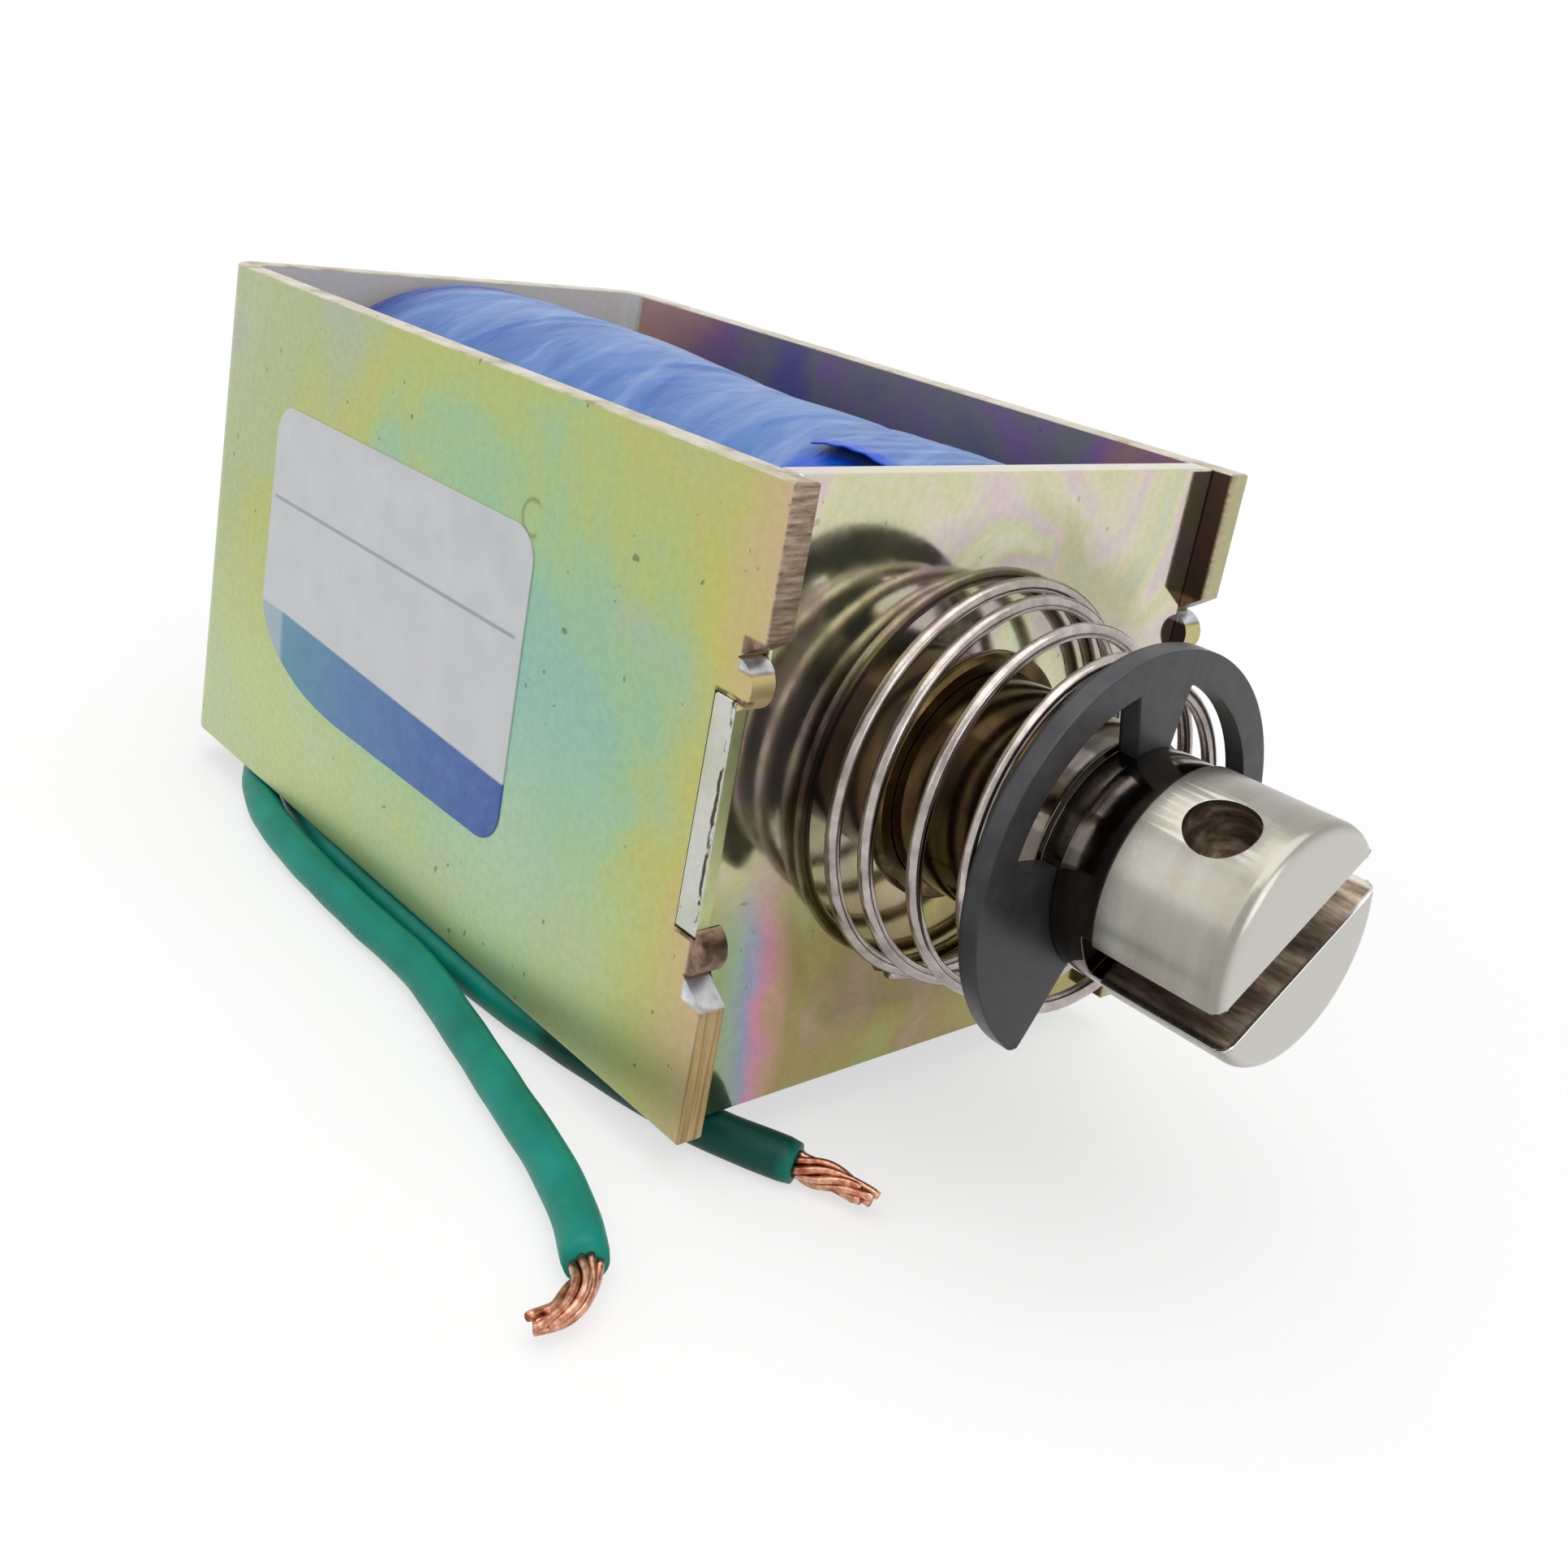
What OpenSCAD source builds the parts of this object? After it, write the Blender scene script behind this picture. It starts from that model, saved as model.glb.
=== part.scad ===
// Push pull solenoid with an open, bent sheet-steel frame, a round plunger with a forked nose,
// a tapered return spring held by an E-ring, and two free lead wires.
// Millimetres. +X points out of the plunger's nose, +Z is up. The origin is the centre of the
// four tapped holes, on the outer face of the mounting plate, which faces +Y.

/* [Frame] */
// Length of the side plates, from the outer face of the back plate to their lips
frame_l = 76.5; // [70:0.5:84]
// Width over the outer faces of the two side plates
frame_w = 46.6; // [45.8:0.2:50]
// Height of the frame
frame_h = 44; // [42:1:52]
// Thickness of the bent sheet
sheet_t = 2; // [1.6:0.1:2.2]
// Inner radius of the two bends at the back
bend_r = 1.5; // [0.5:0.1:3]

/* [Front plate] */
// Thickness of the front plate
plate_t = 2; // [1.6:0.1:2.6]
// How far the front plate's face lies behind the lips of the side plates
plate_recess = 1.7; // [1.2:0.1:2.4]
// Height of the tab at each side of the front plate
tab_h = 16; // [10:0.5:20]
// Height from a tab to the far end of the chisel mark that crushes a lip over it
stake_h = 4.2; // [3.4:0.2:6]
// Radius of the crushed lobe of a lip
stake_r = 1.7; // [1.2:0.1:2]
// How far the lobe lies behind the lip
stake_back = 0.6; // [0.3:0.1:0.9]
// How far the lobe reaches over a tab
stake_lap = 0.8; // [0.4:0.1:1.2]

/* [Mounting holes] */
// Spacing of the tapped holes along the frame
hole_dx = 50; // [40:1:54]
// Spacing of the tapped holes up the frame
hole_dz = 25; // [20:1:30]
// Tapping diameter of the holes, for M4
hole_d = 3.3; // [2.5:0.1:4.2]

/* [Plunger] */
// Diameter of the plunger
plunger_d = 16; // [14:0.5:18]
// How far the nose stands out of the front plate at rest
reach = 26.75; // [24:0.25:34]
// Length of the forked nose in front of its neck
nose_l = 9.15; // [8:0.05:12]
// Diameter of the short neck between the nose and the E-ring
neck_d = 15.6; // [15.4:0.1:15.8]
// Diameter at the bottom of the E-ring's groove
groove_d = 15; // [13:0.1:15.2]
// Width of the slot that forks the nose
slot_w = 3.4; // [2:0.1:5]
// Depth of the slot from the nose's face
slot_l = 10; // [8:0.5:12]
// Roll of the slot about the plunger, from level
slot_roll = 33; // [0:1:90]
// Diameter of the cross hole
cross_d = 4.5; // [3:0.1:6]
// Distance from the nose's face to the cross hole
cross_back = 4.65; // [4:0.05:6]
// Radius of the nose's rounded edge
nose_r = 0.9; // [0.3:0.1:1.5]

/* [E-ring] */
// Outer diameter of the E-ring
ring_d = 28.8; // [26:0.2:31]
// Thickness of the E-ring
ring_t = 1.5; // [1:0.1:2]
// Diameter out to which the two gaps of the ring reach
ring_gap_d = 24; // [20:0.2:25]
// Distance from the front plate's face to the ring's rear face at rest
ring_reach = 12.7; // [12:0.1:14]
// Half of the angle that the ring's mouth takes
ring_mouth = 35; // [25:1:45]
// Half of the angle that the ring's middle prong takes
ring_prong = 13; // [8:1:20]
// Angle that each of the ring's two gaps takes
ring_gap = 68; // [30:1:85]
// Angle of the middle prong about the plunger, from level
ring_roll = 93; // [0:1:180]
// Radius of the outer prongs' rounded tips
ring_tip_r = 0.9; // [0.4:0.1:1.2]

/* [Return spring] */
// Wire diameter of the spring
wire_d = 1.05; // [0.8:0.05:1.3]
// Outer diameter of the widest coil, on the front plate
spring_big_d = 30.8; // [27:0.2:33]
// Outer diameter of the smallest coil, at the E-ring
spring_small_d = 23.6; // [21:0.2:25]
// Number of open turns of the spring
spring_turns = 2.6; // [2:0.1:4]
// Number of closed turns on the front plate
closed_turns_big = 1.35; // [0.75:0.05:1.5]
// Number of closed turns at the E-ring
closed_turns_small = 0.75; // [0.75:0.05:1.5]
// Angle about the plunger at which the wire starts on the front plate, from level
spring_start = 252; // [0:1:359]

/* [Core and rod] */
// Length of the fixed core inside the frame
core_l = 28; // [24:0.5:32]
// Diameter of the core's spigot that is riveted in the back plate
spigot_d = 9; // [7:0.5:11]
// Diameter of the riveted head behind the back plate
rivet_d = 12; // [11.5:0.5:14]
// Thickness of the riveted head
rivet_t = 1; // [0.6:0.1:1.6]
// Diameter of the push rod
rod_d = 4; // [3.5:0.25:5]
// How far the rod's shoulder stands out behind the riveted head at rest
rod_reach = 1; // [0.5:0.5:4]
// Diameter of the rod's turned-down tip
tip_d = 3; // [2:0.25:3.25]
// Length of the tip
tip_l = 6; // [4:0.5:10]
// Depth of the rod's seat in the plunger
rod_seat = 10; // [6:1:14]
// Thickness of the brass washer on the core's face
shim_t = 0.4; // [0.2:0.1:0.8]
// Travel of the plunger
stroke = 8; // [5:0.5:8.5]

/* [Coil] */
// Wall of the brass guide tube
tube_wall = 0.6; // [0.4:0.1:0.8]
// How far the tube's rolled mouth stands in front of the front plate
mouth_t = 0.6; // [0.3:0.1:1]
// Wall of the bobbin's tube
bobbin_wall = 1.1; // [0.8:0.1:1.6]
// Distance from the front plate to the front edge of the wrap's loose end
tail_gap = 7.7; // [4:0.1:12]
// Length of the wrap's loose end along the coil
tail_l = 11; // [6:0.5:16]
// Thickness of each bobbin flange
flange_t = 1.6; // [1.2:0.1:2.4]
// Thickness of the rubber cushion behind the bobbin
cushion_t = 1.2; // [0.8:0.1:2]
// Thickness of the pale insulating paper over the winding
paper_t = 0.3; // [0.2:0.1:0.6]
// Gap between the blue wrap's flattened sides and each side plate
wrap_gap = 0.2; // [0.1:0.1:1]
// Least thickness of the wrap at its flattened sides
wrap_side_t = 1; // [0.6:0.1:1.4]
// Least thickness of the wrap above and below
wrap_t = 2.1; // [1.6:0.1:2.6]
// How far the wrap's top and bottom stand out past the side plates' edges
wrap_proud = 0.2; // [0:0.1:1]
// How much lower the wrap is in its front half
wrap_fall = 0.7; // [0:0.1:1]
// How far the wrap's two ends are turned in
wrap_round = 0.5; // [0.1:0.1:0.8]

/* [Label] */
// Length of the label
label_l = 39.3; // [30:0.1:50]
// Height of the label
label_h = 24; // [16:0.5:30]
// Corner radius of the label
label_r = 3; // [1:0.1:6]
// Distance from the lips to the label's near edge
label_gap = 24; // [15:0.5:30]
// Thickness of the label
label_t = 0.12; // [0.08:0.01:0.2]

/* [Leads] */
// Outer diameter of a lead's insulation
lead_d = 3; // [2:0.1:3]
// Diameter of a lead's bare copper bundle
strand_d = 1.9; // [1:0.1:2.2]
// Diameter of the sleeve over the joint of a lead and the winding
sleeve_d = 3.9; // [3.6:0.1:4.2]

/* [Hidden] */

$fn = 96;
eps = 0.01;
seat = 0.05;            // clearance of pieces that seat in one another
run = 0.075;            // radial clearance of the plunger and the rod in their guides

axis_y = -frame_w / 2;  // the plunger's axis lies midway between the side plates
inner_w = frame_w - 2 * sheet_t;
plate_back = frame_l - plate_recess - plate_t;
plate_front = frame_l - plate_recess;

bore_d = plunger_d + 2 * run;
tube_d = bore_d + 2 * tube_wall;
mouth_d = tube_d + 1.2;

nose_x = plate_front + reach;
neck_x = nose_x - nose_l;
ring_back = plate_front + ring_reach;
ring_front = ring_back + ring_t;
core_face = sheet_t + core_l;
plunger_back = core_face + shim_t + stroke;
rod_back = -rivet_t - rod_reach;
tip_back = rod_back - tip_l;

bobbin_back = sheet_t + cushion_t + 2 * seat;
bobbin_front = plate_back - seat;
bobbin_bore = tube_d + 2 * seat;
bobbin_d = bobbin_bore + 2 * bobbin_wall;
coil_back = bobbin_back + flange_t + seat;
coil_front = bobbin_front - flange_t - seat;
wrap_w = inner_w - 2 * wrap_gap;
wrap_d = frame_h + 2 * wrap_proud;
paper_d = min(wrap_w - 2 * wrap_side_t, wrap_d - 2 * wrap_t);
winding_d = paper_d - 2 * paper_t;
flange_d = paper_d - 2 * eps;

splice_y = -inner_w / 2 + 3;   // the leads leave the coil beside the label plate
splice_z = -3.4;
splice_l = 7;
pocket_y = splice_y + sleeve_d / 2 + seat;
pocket_x = 13.2;
pocket_top = splice_z + splice_l + 0.6;
lie_z = -frame_h / 2 - 0.2 - lead_d / 2;   // the leads lie just under the frame's lower edge

// Route of the inner lead, from the coil down and along under the label plate
lead_a_path = [[10.9, splice_y, splice_z], [10.9, splice_y, -8], [10.9, -18.4, -13],
               [11.1, -18.5, -18], [12.2, -18.8, -21.8], [15, -19.4, lie_z], [20, -20.6, lie_z],
               [27, -21.8, lie_z], [33.5, -22.2, lie_z], [40, -22.3, lie_z], [46, -22.3, lie_z],
               [53.4, -22, lie_z], [60, -21.2, lie_z], [67, -20, lie_z], [73.8, -18.3, lie_z],
               [79.8, -15.4, lie_z]];
// Route of the outer lead, which bends away from the frame
lead_b_path = [[7, splice_y, splice_z], [7, splice_y, -8], [7, -18.4, -13], [7.2, -18.7, -18],
               [8.3, -19.4, -21.8], [10.8, -20.9, lie_z], [14.5, -22.6, lie_z],
               [20, -24.2, lie_z], [27, -25.1, lie_z], [33.5, -25.4, lie_z], [40, -25.5, lie_z],
               [48, -25.5, lie_z], [57, -27, lie_z], [65.5, -28.7, lie_z], [72, -30, lie_z],
               [77.4, -31.7, lie_z], [81.3, -33.6, lie_z]];
// Bare copper at each lead's far end
strands_a_path = [[79.8, -15.4, lie_z], [81.6, -14.5, lie_z], [83.4, -13.8, lie_z],
                  [85.2, -13.4, lie_z]];
strands_b_path = [[81.3, -33.6, lie_z], [82.9, -35, lie_z], [83.8, -37.1, lie_z],
                  [84, -39.4, lie_z]];

steel = [0.66, 0.70, 0.47];
nickel = [0.74, 0.73, 0.70];

// Moves a piece from the back plate's middle to its place about the mounting holes
module place() {
    translate([-frame_l / 2, axis_y, 0])
        children();
}

// A round rod along +X from x0 to x1
module rod_x(d, x0, x1) {
    translate([x0, 0, 0])
        rotate([0, 90, 0])
            cylinder(d = d, h = x1 - x0);
}

// Turns a profile of [radius, x] points about the plunger's axis
module turned(points) {
    rotate([0, 90, 0])
        rotate_extrude()
            polygon(points);
}

// A flat rectangle with rounded corners, centred
module rounded_rect(l, h, r) {
    square([l - 2 * r, h], center = true);
    square([l, h - 2 * r], center = true);
    for (x = [-1, 1], y = [-1, 1])
        translate([x * (l / 2 - r), y * (h / 2 - r)])
            circle(r = r);
}

// A wedge between two angles, wider than any round piece it cuts
module sector(from_a, to_a) {
    far = frame_w;
    mid = (from_a + to_a) / 2;
    polygon([[0, 0], [far * cos(from_a), far * sin(from_a)], [far * cos(mid), far * sin(mid)],
             [far * cos(to_a), far * sin(to_a)]]);
}

// A tube swept along points, with a flat ring across the path at each of them
module swept(path, d, sides = 8, end_d = 0) {
    last = len(path) - 1;
    final_d = end_d > 0 ? end_d : d;
    tangent = [for (i = [0 : last])
        let (v = path[min(i + 1, last)] - path[max(i - 1, 0)]) v / norm(v)];
    polyhedron(
        points = [for (i = [0 : last], k = [0 : sides - 1])
            let (t = tangent[i],
                 ref = abs(t[2]) > 0.9 ? [1, 0, 0] : [0, 0, 1],
                 u = cross(ref, t) / norm(cross(ref, t)),
                 v = cross(t, u),
                 flip = abs(t[2]) > 0.9 ? 90 : 0,
                 a = 360 * (k + 0.5) / sides + flip,
                 r = (d + (final_d - d) * i / last) / 2)
            path[i] + r * (u * cos(a) + v * sin(a))],
        faces = concat(
            [[for (k = [0 : sides - 1]) k]],
            [[for (k = [sides - 1 : -1 : 0]) last * sides + k]],
            [for (i = [0 : last - 1], k = [0 : sides - 1])
                [i * sides + k, (i + 1) * sides + k,
                 (i + 1) * sides + (k + 1) % sides, i * sides + (k + 1) % sides]]),
        convexity = 6);
}

// The sheet bent to a U, seen from above
module u_profile() {
    outer_r = bend_r + sheet_t;
    difference() {
        union() {
            translate([outer_r, -frame_w / 2])
                square([frame_l - outer_r, frame_w]);
            translate([0, -frame_w / 2 + outer_r])
                square([frame_l, frame_w - 2 * outer_r]);
            for (s = [-1, 1])
                translate([outer_r, s * (frame_w / 2 - outer_r)])
                    circle(r = outer_r);
        }
        translate([outer_r, -inner_w / 2])
            square([frame_l, inner_w]);
        translate([sheet_t, -inner_w / 2 + bend_r])
            square([frame_l, inner_w - 2 * bend_r]);
        for (s = [-1, 1])
            translate([outer_r, s * (inner_w / 2 - bend_r)])
                circle(r = bend_r);
    }
}

// What is cut from a lip beside a tab, seen from the side and measured from the tab's corner:
// the notch in front of the tab and the chisel mark, round the lobe that is crushed over the tab
module stake_profile() {
    lobe = [-stake_back - stake_r, stake_r - stake_lap];
    past_middle = -tab_h / 2 - 1;
    difference() {
        polygon([[plate_front + seat - frame_l, past_middle], [1, past_middle], [1, stake_h],
                 [0, stake_h], [lobe[0], lobe[1] + stake_r], [lobe[0], 0],
                 [plate_front + seat - frame_l, 0]]);
        translate(lobe)
            circle(r = stake_r);
    }
}

module u_frame() {
    lug_z = tab_h / 2 + seat;
    color(steel)
        place()
            difference() {
                translate([0, 0, -frame_h / 2])
                    linear_extrude(frame_h)
                        u_profile();
                // Notches for the tabs, with lips that are crushed over them
                translate([plate_back - seat, -frame_w, -lug_z])
                    cube([plate_t + 2 * seat, 2 * frame_w, 2 * lug_z]);
                for (m = [0, 1])
                    mirror([0, 0, m])
                        translate([frame_l, 0, lug_z])
                            rotate([90, 0, 0])
                                linear_extrude(frame_w + 2, center = true)
                                    stake_profile();
                // Riveted spigot of the core
                rod_x(spigot_d + 2 * seat, -1, sheet_t + 1);
                // Tapped holes in the mounting plate
                for (x = [-1, 1], z = [-1, 1])
                    translate([frame_l / 2 + x * hole_dx / 2, 0, z * hole_dz / 2])
                        rotate([-90, 0, 0])
                            cylinder(d = hole_d, h = frame_w);
            }
}

module front_plate() {
    color([0.72, 0.72, 0.62])
        place()
            difference() {
                union() {
                    translate([plate_back, -inner_w / 2 + seat, -frame_h / 2])
                        cube([plate_t, inner_w - 2 * seat, frame_h]);
                    translate([plate_back, -frame_w / 2, -tab_h / 2])
                        cube([plate_t, frame_w, tab_h]);
                }
                rod_x(tube_d + 2 * seat, plate_back - 1, plate_front + 1);
            }
}

module fixed_core() {
    color([0.55, 0.55, 0.53])
        place()
            difference() {
                union() {
                    turned([[0, sheet_t], [plunger_d / 2, sheet_t],
                            [plunger_d / 2, core_face - 0.5], [plunger_d / 2 - 0.5, core_face],
                            [0, core_face]]);
                    rod_x(spigot_d, -eps, sheet_t + eps);
                    turned([[0, -rivet_t], [rivet_d / 2 - 0.8, -rivet_t],
                            [rivet_d / 2, -rivet_t + 0.6], [rivet_d / 2, 0], [0, 0]]);
                }
                rod_x(rod_d + 2 * run, -rivet_t - 1, core_face + 1);
            }
}

module core_shim() {
    color([0.80, 0.66, 0.30])
        place()
            difference() {
                rod_x(plunger_d - 0.4, core_face, core_face + shim_t);
                rod_x(rod_d + 0.4, core_face - 1, core_face + shim_t + 1);
            }
}

module guide_tube() {
    rim = plate_front + seat;
    color([0.78, 0.64, 0.30])
        place()
            difference() {
                union() {
                    rod_x(tube_d, sheet_t + seat, rim + mouth_t);
                    turned([[bore_d / 2, rim], [mouth_d / 2, rim],
                            [mouth_d / 2, rim + mouth_t - 0.3],
                            [mouth_d / 2 - 0.3, rim + mouth_t], [bore_d / 2, rim + mouth_t]]);
                }
                rod_x(bore_d, 0, frame_l + 2);
            }
}

module bobbin() {
    color([0.90, 0.89, 0.84])
        place()
            difference() {
                union() {
                    rod_x(bobbin_d, bobbin_back, bobbin_front);
                    rod_x(flange_d, bobbin_back, bobbin_back + flange_t);
                    rod_x(flange_d, bobbin_front - flange_t, bobbin_front);
                }
                rod_x(bobbin_bore, 0, frame_l);
            }
}

module bobbin_cushion() {
    color([0.16, 0.16, 0.17])
        place()
            difference() {
                rod_x(flange_d - 2, sheet_t + seat, sheet_t + seat + cushion_t);
                rod_x(bobbin_bore + 1, 0, frame_l);
            }
}

// Room beside the label plate where the leads are joined to the winding and go down
module splice_pocket() {
    translate([bobbin_back + flange_t, -frame_w / 2, -frame_h / 2 - 1])
        cube([pocket_x - bobbin_back - flange_t, frame_w / 2 + pocket_y,
              pocket_top + frame_h / 2 + 1]);
}

module winding() {
    color([0.72, 0.41, 0.22])
        place()
            difference() {
                rod_x(winding_d, coil_back, coil_front);
                rod_x(bobbin_d + 2 * seat, 0, frame_l);
                splice_pocket();
            }
}

module insulating_paper() {
    color([0.88, 0.84, 0.70])
        place()
            difference() {
                rod_x(paper_d, coil_back, coil_front);
                rod_x(winding_d + 2 * eps, 0, frame_l);
                splice_pocket();
            }
}

// Radius of the blue wrap at a share of its length
function wrap_r(s) =
    wrap_d / 2 - wrap_fall * min(1, max(0, (s - 0.4) / 0.25))
    - wrap_round * pow(abs(2 * s - 1), 14);

module blue_wrap() {
    steps = 28;
    length = bobbin_front - bobbin_back;
    color([0.25, 0.42, 0.74])
        place()
            difference() {
                intersection() {
                    turned(concat(
                        [[paper_d / 2 + eps, bobbin_back], [paper_d / 2 + eps, bobbin_front]],
                        [for (i = [steps : -1 : 0])
                            [wrap_r(i / steps), bobbin_back + length * i / steps]]));
                    translate([0, -wrap_w / 2, -frame_w])
                        cube([frame_l, wrap_w, 2 * frame_w]);
                }
                splice_pocket();
            }
}

module wrap_tail() {
    from_a = 70;
    to_a = 112;
    tail_back = plate_back - tail_gap - tail_l;
    r = wrap_r((tail_back - bobbin_back) / (bobbin_front - bobbin_back));
    color([0.45, 0.60, 0.85])
        place()
            translate([tail_back, 0, 0])
                rotate([90, 0, 90])
                    linear_extrude(tail_l)
                        intersection() {
                            difference() {
                                circle(r = r + 0.4);
                                circle(r = r + 0.1);
                            }
                            sector(from_a, to_a);
                        }
}

module splice_sleeve(x) {
    place()
        translate([x, splice_y, splice_z])
            cylinder(d = sleeve_d, h = splice_l);
}

module splice_sleeve_a() {
    color([0.12, 0.12, 0.13])
        splice_sleeve(lead_a_path[0][0] + 0.1);
}

module splice_sleeve_b() {
    color([0.12, 0.12, 0.13])
        splice_sleeve(lead_b_path[0][0] - 0.1);
}

module lead_a() {
    color([0.05, 0.48, 0.43])
        place()
            swept(lead_a_path, lead_d);
}

module lead_b() {
    color([0.05, 0.48, 0.43])
        place()
            swept(lead_b_path, lead_d);
}

module lead_a_strands() {
    color([0.66, 0.36, 0.24])
        place()
            swept(strands_a_path, strand_d, end_d = strand_d * 0.6);
}

module lead_b_strands() {
    color([0.66, 0.36, 0.24])
        place()
            swept(strands_b_path, strand_d, end_d = strand_d * 0.6);
}

module label() {
    color([0.92, 0.93, 0.94])
        place()
            translate([frame_l - label_gap - label_l / 2, -frame_w / 2, 0])
                rotate([90, 0, 0])
                    linear_extrude(label_t)
                        rounded_rect(label_l, label_h, label_r);
}

module plunger() {
    r = plunger_d / 2;
    color(nickel)
        place()
            difference() {
                rotate([0, 90, 0])
                    rotate_extrude()
                        difference() {
                            union() {
                                translate([0, plunger_back])
                                    square([r, nose_x - nose_r - plunger_back]);
                                translate([0, plunger_back])
                                    square([r - nose_r, nose_x - plunger_back]);
                                translate([r - nose_r, nose_x - nose_r])
                                    circle(r = nose_r, $fn = 48);
                            }
                            // Neck and groove
                            translate([neck_d / 2, ring_front])
                                square([r, neck_x - ring_front]);
                            translate([groove_d / 2, ring_back - seat])
                                square([r, ring_t + 2 * seat]);
                            // Eased edge at the inner end
                            translate([r, plunger_back])
                                rotate(45)
                                    square(1, center = true);
                        }
                // Fork and its cross hole
                rotate([slot_roll, 0, 0]) {
                    translate([nose_x - slot_l, -r - 1, -slot_w / 2])
                        cube([slot_l + 1, plunger_d + 2, slot_w]);
                    translate([nose_x - cross_back, 0, 0])
                        cylinder(d = cross_d, h = plunger_d + 2, center = true);
                }
                rod_x(rod_d, plunger_back - 1, plunger_back + rod_seat);
            }
}

module push_rod() {
    color([0.80, 0.80, 0.79])
        place()
            turned([[0, tip_back], [tip_d / 2 - 0.4, tip_back], [tip_d / 2, tip_back + 0.4],
                    [tip_d / 2, rod_back], [rod_d / 2, rod_back],
                    [rod_d / 2, plunger_back + rod_seat], [0, plunger_back + rod_seat]]);
}

module e_ring() {
    mouth = 180 - ring_mouth;
    // The tip's rounding touches the outer edge and the mouth's edge
    tip_at = ring_d / 2 - ring_tip_r;
    tip_a = mouth - asin(ring_tip_r / tip_at);
    color([0.13, 0.13, 0.14])
        place()
            translate([ring_back, 0, 0])
                rotate([90, 0, 90])
                    rotate(ring_roll)
                        linear_extrude(ring_t)
                            difference() {
                                circle(d = ring_d);
                                circle(d = groove_d + seat);
                                sector(mouth, 360 - mouth);
                                for (m = [0, 1])
                                    mirror([0, m])
                                        difference() {
                                            sector(tip_a, mouth + 1);
                                            circle(r = tip_at * cos(mouth - tip_a));
                                            translate([tip_at * cos(tip_a), tip_at * sin(tip_a)])
                                                circle(r = ring_tip_r, $fn = 48);
                                        }
                                for (m = [0, 1])
                                    mirror([0, m])
                                        intersection() {
                                            circle(d = ring_gap_d);
                                            sector(ring_prong, ring_prong + ring_gap);
                                        }
                            }
}

// Point of the spring's centreline at a number of turns from the front plate
function spring_point(turn, turns, x0, x1, r0, r1) =
    let (closed = wire_d * 1.02,
         low = closed_turns_big * closed,
         high = x1 - x0 - closed_turns_small * closed,
         lift = turn < closed_turns_big ? turn * closed
              : turn > turns - closed_turns_small ? x1 - x0 - (turns - turn) * closed
              : low + (high - low) * (turn - closed_turns_big) / spring_turns,
         r = r0 + (r1 - r0) * turn / turns,
         a = spring_start + 360 * turn)
    [x0 + lift, r * cos(a), r * sin(a)];

module return_spring() {
    per_turn = 28;
    turns = closed_turns_big + spring_turns + closed_turns_small;
    steps = ceil(turns * per_turn);
    x0 = plate_front + wire_d / 2 + seat;
    x1 = ring_back - wire_d / 2 - seat;
    r0 = (spring_big_d - wire_d) / 2;
    r1 = (spring_small_d - wire_d) / 2;
    color([0.62, 0.62, 0.60])
        place()
            swept([for (i = [0 : steps])
                      spring_point(turns * i / steps, turns, x0, x1, r0, r1)], wire_d);
}

u_frame();
front_plate();
fixed_core();
core_shim();
guide_tube();
bobbin();
bobbin_cushion();
winding();
insulating_paper();
blue_wrap();
wrap_tail();
splice_sleeve_a();
splice_sleeve_b();
lead_a();
lead_b();
lead_a_strands();
lead_b_strands();
label();
plunger();
push_rod();
e_ring();
return_spring();
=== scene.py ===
import math

import bmesh
import bpy
from mathutils import Matrix, Vector, noise


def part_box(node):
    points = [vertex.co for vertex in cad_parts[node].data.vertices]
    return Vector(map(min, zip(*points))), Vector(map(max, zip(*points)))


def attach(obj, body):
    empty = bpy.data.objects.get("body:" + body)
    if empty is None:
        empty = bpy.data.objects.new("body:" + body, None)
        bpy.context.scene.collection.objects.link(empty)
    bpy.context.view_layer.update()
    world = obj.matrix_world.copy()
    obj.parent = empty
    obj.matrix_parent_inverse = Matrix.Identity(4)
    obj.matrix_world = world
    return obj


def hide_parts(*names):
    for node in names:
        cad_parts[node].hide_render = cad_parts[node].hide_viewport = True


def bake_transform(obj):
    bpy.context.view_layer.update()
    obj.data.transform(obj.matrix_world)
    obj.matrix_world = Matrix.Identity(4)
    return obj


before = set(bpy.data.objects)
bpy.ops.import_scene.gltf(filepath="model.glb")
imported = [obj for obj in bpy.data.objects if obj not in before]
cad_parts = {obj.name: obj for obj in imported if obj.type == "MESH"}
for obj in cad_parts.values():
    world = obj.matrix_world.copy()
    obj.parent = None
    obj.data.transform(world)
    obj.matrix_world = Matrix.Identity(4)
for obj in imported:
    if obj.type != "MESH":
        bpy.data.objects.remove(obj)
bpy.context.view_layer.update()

MM = 0.001
SCENE = bpy.context.scene

# part.scad's modules measure from here: the back plate's outer face, on the plunger's axis.
frame_low, frame_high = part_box("u_frame")
ORIGIN = Vector((frame_low.x, (frame_low.y + frame_high.y) / 2, (frame_low.z + frame_high.z) / 2))

# Places on the solids, in mm from there
FRAME_END = 76.5  # the lips of the side plates
HALF_W, HALF_H = 23.3, 22.0
SHEET = 2.0
INNER_Y = HALF_W - SHEET  # the inner faces of the side plates
BEND_END = SHEET + 1.5  # where the bends at the back go over into those
PLATE_FACE = 74.8  # the front plate's outer face
TAB_Z = 8.0  # half of the height of the front plate's tabs
CHISEL_END = 12.6  # past the chisel marks, up and down
NOSE_BACK, NOSE_END = 92.4, 101.55
RING_BACK = (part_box("e_ring")[0].x - ORIGIN.x) / MM


def at(x, y, z):
    """A point in part.scad's own measures, as a point of the row frame."""
    return ORIGIN + Vector((x, y, z)) * MM


# ---------------------------------------------------------------- camera

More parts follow.
